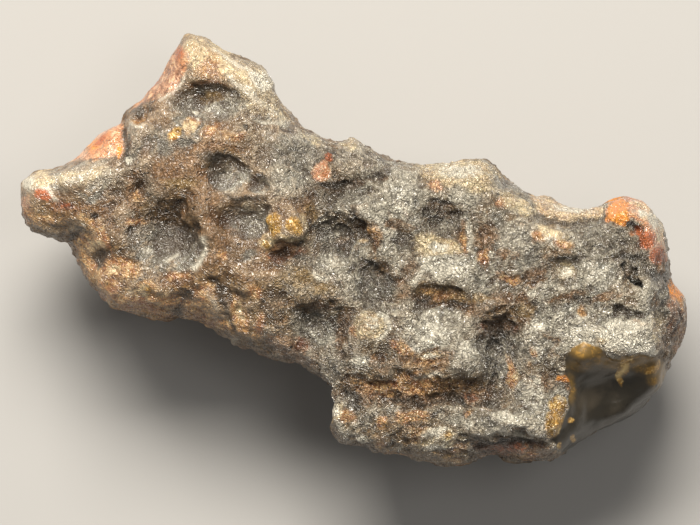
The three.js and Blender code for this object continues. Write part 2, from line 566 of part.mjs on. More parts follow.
// One vertex in each cell that the surface passes through, at the mean of its edge crossings, and
// one quad round each grid edge that the surface crosses. lines holds the grid's places on each axis.
function surfaceNet(lines) {
  const [nx, ny, nz] = lines.map((places) => places.length);
  const place = (i, j, k) => i + nx * (j + ny * k);
  const spot = (i, j, k) => new THREE.Vector3(lines[0][i], lines[1][j], lines[2][k]);
  const values = new Float64Array(nx * ny * nz);
  for (let j = 0; j < ny; j++)
    for (let i = 0; i < nx; i++) {
      const [x, y] = [lines[0][i], lines[1][j]];
      const at = column(x, y);
      for (let k = 0; k < nz; k++) values[place(i, j, k)] = field(x, y, lines[2][k], at);
    }
  unpinch(values, place, [nx, ny, nz]);

  const positions = [];
  const vertexOf = new Int32Array(nx * ny * nz).fill(-1);
  for (let k = 0; k + 1 < nz; k++)
    for (let j = 0; j + 1 < ny; j++)
      for (let i = 0; i + 1 < nx; i++) {
        const at = corners.map(([a, b, c]) => values[place(i + a, j + b, k + c)]);
        const sum = new THREE.Vector3();
        let crossings = 0;
        for (const [a, b] of edges) {
          if (at[a] < 0 === at[b] < 0) continue;
          const t = at[a] / (at[a] - at[b]);
          const from = new THREE.Vector3(...corners[a]);
          sum.add(from.lerp(new THREE.Vector3(...corners[b]), t));
          crossings++;
        }
        if (!crossings) continue;
        vertexOf[place(i, j, k)] = positions.length;
        const near = spot(i, j, k);
        const size = spot(i + 1, j + 1, k + 1).sub(near);
        positions.push(settle(sum.divideScalar(crossings), near, size));
      }

  const indices = [];
  const span = (a, b) => positions[a].distanceTo(positions[b]);
  const quad = (a, b, c, d) => {
    if (span(a, c) < span(b, d)) indices.push(a, b, c, a, c, d);
    else indices.push(b, c, d, b, d, a);
  };
  for (let k = 1; k + 1 < nz; k++)
    for (let j = 1; j + 1 < ny; j++)
      for (let i = 1; i + 1 < nx; i++) {
        const inside = values[place(i, j, k)] < 0;
        const cellAt = (a, b, c) => vertexOf[place(i - a, j - b, k - c)];
        // The four cells round the grid edge along each axis, anticlockwise seen from its far end.
        const rings = [
          [[1, 0, 0], [cellAt(0, 1, 1), cellAt(0, 0, 1), cellAt(0, 0, 0), cellAt(0, 1, 0)]],
          [[0, 1, 0], [cellAt(1, 0, 1), cellAt(1, 0, 0), cellAt(0, 0, 0), cellAt(0, 0, 1)]],
          [[0, 0, 1], [cellAt(1, 1, 0), cellAt(0, 1, 0), cellAt(0, 0, 0), cellAt(1, 0, 0)]],
        ];
        for (const [[a, b, c], ring] of rings)
          if (values[place(i + a, j + b, k + c)] < 0 !== inside)
            quad(...(inside ? ring : ring.reverse()));
      }

  return { positions, indices };
}

// ---------------------------------------------------------------- the stone

// Grid lines from one place to another, a step apart.
function spaced(from, to, step) {
  const count = Math.ceil((to - from) / step) + 1;
  return Array.from({ length: count }, (_, n) => from + n * step);
}

function nodule() {
  const coarse = spaced(-1.5 * COARSE_LAYER, TOP_ZONE, COARSE_LAYER);
  const fine = spaced(coarse.at(-1) + CELL, HEADROOM, CELL);
  const { positions, indices } = surfaceNet([
    spaced(-HALF_LENGTH, HALF_LENGTH, CELL),
    spaced(-HALF_WIDTH, HALF_WIDTH, CELL),
    [...coarse, ...fine],
  ]);

  const geometry = new THREE.BufferGeometry().setFromPoints(positions);
  geometry.setIndex(indices);
  geometry.computeBoundingBox();
  const middle = geometry.boundingBox.getCenter(new THREE.Vector3());
  geometry.translate(-middle.x, -middle.y, -geometry.boundingBox.min.z);
  geometry.computeVertexNormals();
  return geometry;
}

const rind = new THREE.MeshStandardMaterial({ color: 0x5b5248, roughness: 0.4, metalness: 0 });

const agate = new THREE.Group();
const stone = new THREE.Mesh(nodule(), rind);
stone.name = "agate_nodule";
agate.add(stone);

export default agate;
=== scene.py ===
"""The looks of a rough agate nodule that lies on its back, seen from straight above.

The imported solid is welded, subdivided and carved with the fine relief, in millimetres, and carries
soft masks for its colours. The material breaks their edges up with procedural noise.
"""

import math

import bpy
import numpy as np
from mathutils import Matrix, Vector


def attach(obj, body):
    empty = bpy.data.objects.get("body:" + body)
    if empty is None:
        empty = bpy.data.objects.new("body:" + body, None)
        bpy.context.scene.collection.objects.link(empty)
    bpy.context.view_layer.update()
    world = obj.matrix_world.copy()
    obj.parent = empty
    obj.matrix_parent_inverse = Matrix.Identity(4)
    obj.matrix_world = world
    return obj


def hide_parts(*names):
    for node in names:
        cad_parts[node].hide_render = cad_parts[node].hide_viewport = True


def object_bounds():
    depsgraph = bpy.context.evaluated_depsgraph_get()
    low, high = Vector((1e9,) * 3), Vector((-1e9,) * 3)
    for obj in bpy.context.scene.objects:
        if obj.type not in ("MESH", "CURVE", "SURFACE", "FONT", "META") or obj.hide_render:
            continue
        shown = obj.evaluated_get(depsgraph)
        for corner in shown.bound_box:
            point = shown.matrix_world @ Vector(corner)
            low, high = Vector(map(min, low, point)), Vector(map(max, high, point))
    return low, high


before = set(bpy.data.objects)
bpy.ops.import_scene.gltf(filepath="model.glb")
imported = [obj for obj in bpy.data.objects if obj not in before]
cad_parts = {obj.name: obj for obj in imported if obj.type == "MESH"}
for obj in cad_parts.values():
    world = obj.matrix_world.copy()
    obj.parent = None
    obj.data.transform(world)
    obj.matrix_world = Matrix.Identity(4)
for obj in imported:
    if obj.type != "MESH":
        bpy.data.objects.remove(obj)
cad_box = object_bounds()

MM = 0.001
NODE = "agate_nodule"

# --- camera and picture

PIXEL_MM = 0.114  # what one pixel of the 700 pixel wide picture covers at the widest level
PICTURE_WIDTH = 700
VIEW_CENTRE = (-0.48, -1.43)  # what the middle of the picture looks at
WIDEST_LEVEL = 17.0
CAMERA_DISTANCE = 1500.0
SENSOR = 36.0
CLIP = (0.01, 20.0)

# --- floor and light, in metres and watts

FLOOR_HALF = 3.0
FLOOR_GAP = 0.00005
FLOOR_COLOUR = (0.425, 0.417, 0.403, 1)
FLOOR_ROUGHNESS = 0.7
WORLD_COLOUR = (1.0, 0.97, 0.93, 1)
WORLD_STRENGTH = 0.17
LIGHT_TARGET = (0, 0, 0.01)
# Each light: name, place, size, power, colour.
LIGHTS = [
    ("key", (-0.08, 0.52, 0.70), (0.50, 0.36), 15.0, (1.0, 0.945, 0.86)),
    ("overhead", (0.26, 0.06, 0.90), (0.30, 0.30), 1.0, (1.0, 0.98, 0.94)),
]

# --- fine relief, seen from above
# All in millimetres. Paths run with their high side on the left. A patch is x, y, half-widths along
# and across, strength and turn. A turn left out is 0, and a strength left out is 1.

FINE_ABOVE = 8.0  # the mesh is split twice above this height, once below it
FINEST_ABOVE = 19.5  # and above this height its long edges are split again
LONGEST_EDGE = 0.37
WORN_STEPS = 30  # rounds of smoothing where the solid's steps are worn round
CRUMB_HEIGHT = 0.34
FOLD_HEIGHT = 0.20
CURL_HEIGHT = 0.13
GRAIN_HEIGHT = 0.06
SWELL_HEIGHT = 0.22
FLANK_HEIGHT = 0.35
FLANK_GRAIN = 0.10
BUMP = 0.22  # the finest relief, which only the material has
LEDGE_EDGE = 0.25  # a ledge's lip rises over twice this
LEDGE_FOOT = 0.5  # how far off its hollow lies, and how wide it is
LIP_SHARE = 0.75
FOOT_SHARE = 0.35
LEDGE_END = 1.2  # ledges and strips fade in over these lengths at their ends
STRIP_END = 0.8
FLANK_BELOW = 12.0
RESTING_BELOW = 0.1  # the flats that the stone rests on stay as they are

# Sharp ledges: path, drop, how far the lip reaches back.
LEDGES = [
    ([(-10.2, 0), (-8.2, 0.9), (-6.5, 1.3), (-5.8, 2.6), (-5.2, 4.2)], 0.7, 1.4),
    ([(-20.7, 16.4), (-20, 18.2), (-18, 19.2), (-15, 18.8), (-13, 17.8)], 0.3, 1.2),
    ([(-17.8, 9), (-17, 10.2), (-15.4, 10.6), (-13.2, 10.1), (-12.3, 9)], 0.35, 1.2),
    ([(-12.2, 9), (-10.6, 8.8), (-9.4, 7.8)], 0.3, 0.8),
    ([(-14.2, 4.8), (-12.2, 5.8), (-10.4, 5.6), (-9.5, 4.4), (-9.5, 2.4)], 0.4, 1),
    ([(-17.2, 2.2), (-16.8, 0.5), (-17.5, -1.2), (-18.7, -2.2)], 0.4, 0.9),
    ([(-4.2, 7.2), (-2.6, 8.2), (0, 8.4), (2.4, 8.5), (4, 7.8)], 0.3, 1.2),
    ([(-0.6, 4.1), (1, 3.6), (2, 2.6), (2.3, 1.2), (2.2, 0)], 0.5, 1.2),
    ([(0, -2), (1, -1.2), (2, -0.8), (3, -1.2), (4, -2.5), (5, -4)], 0.4, 1),
    ([(-8, -7.4), (-6.8, -6.2), (-4.8, -5.8), (-2.6, -5.9), (-1.4, -6.8)], 0.3, 1.2),
    ([(-0.2, -6.6), (-0.3, -9.5), (-0.5, -14)], 0.5, 1.2),
    ([(8, 4.2), (8.6, 5.4), (10, 5.7), (11.6, 5), (12.4, 3.6)], 0.4, 1),
    ([(3.4, 4), (4.4, 2.8), (5.8, 2.1), (7.2, 2.6)], 0.35, 0.9),
    ([(5.8, -5.6), (7, -4.4), (9, -3.9), (12, -4.2), (13.6, -5.1)], 0.7, 1.3),
    ([(14, -8.8), (15, -7.9), (17, -7.6), (18.8, -8.6)], 0.5, 1.2),
    ([(21.6, -1.6), (23.2, -0.8), (25.4, -1.2)], 0.4, 0.9),
    ([(24.4, -6.4), (25.4, -5.4), (26.6, -5.8)], 0.4, 0.8),
    ([(28.4, -7.2), (30, -6.5), (32, -6.9), (34, -6.7)], 0.35, 0.9),
    ([(0.6, -15), (2.4, -14), (4.4, -14.6)], 0.6, 0.9),
    ([(8, -14.4), (10.4, -14), (12.4, -14.7)], 0.55, 0.8),
    ([(2.2, -16.9), (4.6, -16.2), (6.4, -17)], 0.5, 0.8),
    ([(6.6, -16.6), (8.6, -16), (11, -16.6), (12.6, -17.4)], 0.5, 0.8),
    ([(13.6, -22.2), (15, -21), (17.4, -20.8), (19.6, -21.2), (22.6, -22)], 0.6, 1.2),
    ([(28, -12.3), (30.2, -11.7), (32.4, -11.9), (34.4, -12.3)], 0.6, 1),
    ([(30, -4), (30.9, -2.2), (32.6, -3.2)], 0.5, 0.8),
    ([(24.4, 2), (25.3, 0.6), (26.2, -1.2), (25.6, -2.6)], 0.3, 0.8),
]

# Patches where the solid's steps are worn round.
WORN_ROUND = [
    (31.2, -3, 2.2, 1.8, 1.2, -40), (31.2, -7.2, 2.8, 1.2, 1.2), (-17.4, 2, 1.2, 3, 0.9),
    (16, -9, 2.4, 2, 0.9),
]

# Scoops: x, y, half-width across, reach uphill, reach downhill, depth, turn.
SCOOPS = [
    (-2.4, -5.6, 0.5, 0.5, 0.5, 0.5), (-29.3, 3.5, 0.6, 0.5, 0.6, 0.4), (-24.8, 2.4, 0.7, 0.5, 0.6, 0.4),
    (-8, -0.4, 1.7, 0.8, 1.4, 0.4, 12), (30.6, -2.3, 0.9, 0.5, 0.5, 0.9, -55),
    (31.9, -3.7, 1.1, 0.6, 0.6, 1.5, -40), (-24.3, 15.3, 0.9, 0.7, 0.7, 0.8, 30),
    (28.9, -1, 0.9, 0.5, 0.5, 0.4, -20), (30, 0.6, 0.7, 0.5, 0.6, 0.4, 20),
    (30.2, -7, 1.2, 0.5, 0.7, 0.35, 8), (32.6, -7.2, 1.1, 0.5, 0.6, 0.35, -6),
    (25.8, -6.9, 0.8, 0.8, 0.8, 0.4), (8.4, -7.6, 0.7, 0.5, 0.6, 0.3), (24.3, -2.7, 1.2, 0.7, 0.7, 0.3),
    (20.6, -3.6, 1.1, 0.5, 0.5, 0.3, 38), (-13.4, -6.6, 0.7, 2.4, 2.4, 0.3, 32),
    (-20, -5.6, 1.2, 0.9, 1.1, 0.3), (-0.6, -16.6, 0.8, 1.3, 1.5, 0.4),
    (15.2, -17.6, 1.3, 0.8, 1, 0.4, -20), (31.3, 2.3, 0.9, 0.6, 0.7, 0.4), (-20.8, 0.6, 3.6, 2.6, 2.4, 0.6),
    (-17, 0, 1, 1.8, 2, 0.5), (-11.2, 7.4, 1.6, 1, 1.4, 0.7), (-31.6, 1.6, 1.2, 0.8, 0.9, 0.4, 20),
    (-27.4, 4.6, 1.2, 0.7, 0.8, 0.3, -10), (-29, -0.6, 1.5, 0.8, 0.9, 0.35, 30),
    (-25.2, -1.6, 0.8, 1, 1, 0.3),
]

# Mounds: the same, with a height for the depth.
MOUNDS = [
    (-18, 4.6, 2, 1.8, 1.8, 1.1), (-26.4, 3.6, 1.4, 1.2, 1.2, 0.4), (-27.6, -3.4, 1.6, 1, 1.2, 0.4, -30),
    (-22.8, -4.4, 1.4, 0.8, 1, 0.35), (-8.6, 3, 0.9, 0.9, 0.9, 0.5), (-7, 2.6, 0.8, 0.8, 0.8, 0.4),
    (23, -17.9, 0.9, 0.8, 0.9, 0.5), (22.6, -19.7, 0.7, 0.7, 0.8, 0.4),
]

# Cracks and seams: path, depth, half-width.
SEAMS = [
    ([(-12.2, 14.8), (-10.5, 14.3), (-8, 14.3), (-6.4, 13.9)], 0.25, 0.3),
    ([(20.2, 5.2), (21.3, 3.9), (22.6, 3.3), (25, 3.1), (28.3, 3.5)], 0.4, 0.45),
    ([(-16.6, -2.6), (-15.4, -5.6), (-13.6, -9.4)], 0.25, 0.45),
    ([(-26.1, 14.4), (-26.2, 10.4)], 0.5, 0.5),
    ([(28.4, 4.6), (28.4, 3.2), (30.2, 2.7), (32.1, 2.3), (32.6, 0.6), (33.6, -1.4)], 0.35, 0.35),
    ([(-8.2, 11.2), (-6.6, 11.4), (-5.2, 11)], 0.35, 0.4),
]

# Ridges: path, height, half-width.
RIDGES = [
    ([(-16.4, 22.4), (-13.4, 20.6), (-10.8, 19.2)], 0.22, 0.4),
    ([(-14.4, 19.6), (-12.2, 17.4), (-10.4, 15.6)], 0.22, 0.4),
    ([(7, -8.4), (7.9, -7.2), (9.2, -7.2), (9.9, -8.4), (9.2, -9.4)], 0.25, 0.4),
    ([(-4.7, -2.4), (-4, -3.2), (-2, -3.3), (-0.5, -2.6)], 0.25, 0.4),
    ([(16.4, 7), (18, 6), (20, 4.6), (21.4, 3.7)], 0.3, 0.4),
    ([(15.8, 6.2), (17.6, 5.2), (19.6, 4)], 0.25, 0.35),
    ([(2, -18), (5.4, -18.3), (9, -18.5)], 0.3, 0.5),
    ([(-25, 15.2), (-24.4, 14.2), (-23.2, 14)], 0.3, 0.4),
]

# Patches where the surface is crumbly.
CRUMBLY = [
    (-7.9, 2.6, 2.2, 1.9, 0.9, 10), (6.6, -15.4, 7.4, 2.6), (30.4, -0.4, 3.6, 3.4, 0.8),
    (-3, 9.8, 5.6, 2, 0.7, -8), (4, -20, 5, 1.8, 0.8), (-22, -5.4, 5, 1.6, 0.6, -8),
    (10.2, 3.6, 2.2, 2.4, 0.8), (-15.6, 18.6, 3.4, 1, 0.6), (18, -16.6, 3, 2.4, 0.6),
    (30.8, -7.2, 3.6, 1.2, 0.6), (-12.4, -8, 1.8, 2.4, 0.7, 30), (8, -12.6, 3, 1.4, 0.6),
    (36.6, -7, 1.6, 4, 0.8), (-27, -3.6, 3.4, 2, 0.5, -30),
]

# --- colours, seen from above

UNSEEN_BELOW = 12.5  # colours fade out here, into the plain crust of the flanks
GREY_FROM = 6.0  # the crust turns from grey to earthy between these two places along X
WARM_TO = -18.0
POLISHED_ROUGHNESS = 0.32
AREA_EDGE = 0.6  # half the width over which an area's edge fades
RIM_WIDTH = 1.0
# Noise sways the places of the colours. These move by a share of it.
CALM = ("yellow", "orange", "red", "salmon", "honey", "white_and_glint")
CALM_SHARE = 0.35
AREA_SHARE = 0.7
RIM_SHARE = 0.4

# Outlines run anticlockwise.

WINDOW = [
    (24, -14), (24.6, -15.4), (24.2, -16.8), (24.1, -18.4), (23, -19.6), (22.4, -21.4), (23.6, -23),
    (27.4, -22.2), (30.6, -20), (33, -18), (35, -16.2), (35.8, -14.4), (34.9, -12.4), (32, -11.7),
    (28.6, -12), (27.6, -10.8), (26, -10.3), (24.6, -10.9), (24, -12.2),
]
WINDOW_RIM = [(28, -12.3), (29.6, -12.2), (31.6, -12.1), (33.4, -12.5), (34.8, -13.4), (34.9, -14.6)]
CAP_ORANGE = [(28.3, 4.9), (28.5, 3.2), (30.2, 2.7), (31, 3.4), (31.2, 5.2), (30.2, 5.9), (29, 5.6)]
CAP_SALMON = [
    (30.4, 5.9), (31, 3.6), (32.4, 3), (33.2, 0.6), (33.6, -1.4), (34.9, -1.6), (35.4, 0.6), (34.8, 3.4),
    (33.4, 5.4), (31.8, 6.1),
]
FACET = [
    (21, 4.2), (22.4, 3.6), (25, 3.4), (28.2, 3.7), (28.2, 5.2), (26.6, 5), (24.2, 5.6), (21.6, 6.2),
    (19.6, 6.6),
]
SHOULDER = [(-33.5, 9.6), (-30, 10.4), (-26.4, 10.4), (-26.3, 14.6), (-28.4, 14), (-30.6, 12)]
HORN_LEFT = [
    (-25, 15.9), (-22.6, 16.8), (-20.4, 17.6), (-19.3, 19.6), (-18.7, 21.6), (-19.3, 24), (-20.6, 23.6),
    (-22.2, 20.6), (-23.8, 18.6),
]
HORN_RIGHT = [
    (-17.6, 24.4), (-16.8, 21.6), (-13.6, 20.4), (-13.2, 18), (-12.2, 15.6), (-9.4, 14.8), (-6.6, 14.4),
    (-9, 18), (-10.8, 20.9), (-14.6, 22.6),
]
# Each area: colour mask, outline, strength.
AREAS = [
    ("glass", WINDOW, 1.0),
    ("orange", CAP_ORANGE, 1.0),
    ("salmon", CAP_SALMON, 0.8),
    ("salmon", FACET, 0.58),
    ("cream", FACET, 0.62),
    ("salmon", SHOULDER, 0.9),
    ("rust", HORN_LEFT, 0.8),
    ("salmon", HORN_LEFT, 0.56),
    ("cream", HORN_RIGHT, 0.5),
    ("polish", CAP_ORANGE, 0.7),
    ("polish", CAP_SALMON, 0.5),
    ("polish", SHOULDER, 0.7),
    ("polish", HORN_LEFT, 0.6),
    ("polish", FACET, 0.4),
]

# Thin pale lines, mostly painted highlights on rims and curls and partly pale veins: path, half-width,
# strength.
HIGHLIGHT_AND_VEIN_LINES = [
    ([(-16.6, 23), (-13.6, 21.2), (-10.8, 19.8)], 0.18, 0.8),
    ([(-14.6, 20.2), (-12.2, 17.8), (-10.4, 15.9)], 0.2, 0.8),
    ([(-12.8, 18.9), (-10.4, 16.6), (-8.4, 15.2)], 0.18, 0.7),
    ([(-10.4, 20.6), (-8.8, 18), (-7, 15.4)], 0.2, 0.8),
    ([(0.2, 4.6), (2, 4.2), (3.4, 2.6)], 0.24, 0.7),
    ([(12.6, 3.4), (13.4, 1.6), (13.2, -0.4)], 0.24, 0.7),
    ([(28.4, -8.2), (30.6, -8.6), (33.6, -8.2)], 0.3, 0.9),
    ([(25, -8.8), (27.2, -9.2), (28.6, -10)], 0.26, 0.8),
    ([(-4.8, -2.2), (-4.1, -3.3), (-3, -3.3), (-2.3, -3)], 0.24, 1.2),
    ([(-17.3, 2), (-16.9, 0.8), (-17, -0.4), (-17.6, -1.4), (-18.6, -2.4)], 0.36, 1),
    ([(-22, -1.4), (-20.8, -1), (-19.6, -0.2)], 0.24, 0.7),
    ([(-24.4, -0.2), (-23.6, 0.1), (-22.6, -0.3)], 0.24, 0.6),
    ([(6.8, -9), (7.1, -9.8), (8.4, -10.2), (9.3, -10)], 0.26, 1.1),
    ([(7.4, -8.2), (7.9, -7.4), (8.9, -7.3), (9.5, -8), (9.1, -8.7)], 0.22, 1.1),
    ([(2.2, -7.5), (3.4, -7.4), (3.9, -8.8), (3.4, -9.6), (2.2, -10.2)], 0.26, 1.1),
    ([(0.2, -6.1), (0.3, -6.9)], 0.22, 0.9),
    ([(30.9, -12.5), (30.5, -13.6), (30, -14.9)], 0.28, 1.25),
    ([(22.4, -17.3), (23.2, -17), (23.8, -17.6)], 0.3, 0.9),
    ([(7.9, -0.4), (8.2, -1.6), (7.2, -3), (6.2, -4.4)], 0.32, 0.9),
    ([(8.2, -1.8), (9.6, -2.7), (12.2, -2.9), (13.4, -2.6)], 0.3, 0.9),
    ([(11, -1.2), (12.2, -1), (12.8, -0.2)], 0.18, 0.7),
    ([(-12, 14.7), (-9.6, 14.4), (-7, 14.3)], 0.2, 0.9),
    ([(-19, 20.6), (-19.4, 19.2), (-20.3, 18.1), (-21.6, 17.2), (-22.6, 16.8)], 0.14, 0.8),
    ([(-25.4, 14.9), (-24.7, 14), (-24, 13.8), (-23.3, 14.3)], 0.14, 0.9),
    ([(-36.2, 7.2), (-35, 7), (-34.1, 5.7), (-33.4, 5.4)], 0.18, 1),
    ([(-31.4, 5.6), (-31, 5.9)], 0.3, 0.9),
    ([(-17, -4), (-16.2, -5.6), (-15.3, -7.2)], 0.22, 0.35),
    ([(-25.7, -4.6), (-25.3, -5.2)], 0.34, 1.2),
    ([(24.4, -10.3), (25.6, -10), (27, -10.2)], 0.24, 0.9),
    ([(30.4, -10.9), (31.6, -10.8), (33, -11.5), (34.4, -11.4)], 0.36, 1.1),
    ([(28.2, -10.9), (29.4, -10.8), (30.6, -11)], 0.3, 1),
    ([(6.2, -14.5), (8, -14.5), (9.3, -13.9), (10.2, -14.3)], 0.2, 0.9),
    ([(14.6, -20.9), (16, -20.2), (18, -20.4), (19.8, -21)], 0.26, 0.7),
    ([(16.8, -13), (17.1, -14)], 0.2, 0.8),
    ([(24.3, 2), (25.2, 0.7), (26.2, -0.3), (28, -0.8)], 0.18, 0.4),
    ([(24.9, -7.2), (25.6, -7.8), (26.6, -7.4)], 0.2, 0.9),
    ([(-14.2, -10.1), (-13.2, -10.6)], 0.3, 0.8),
]

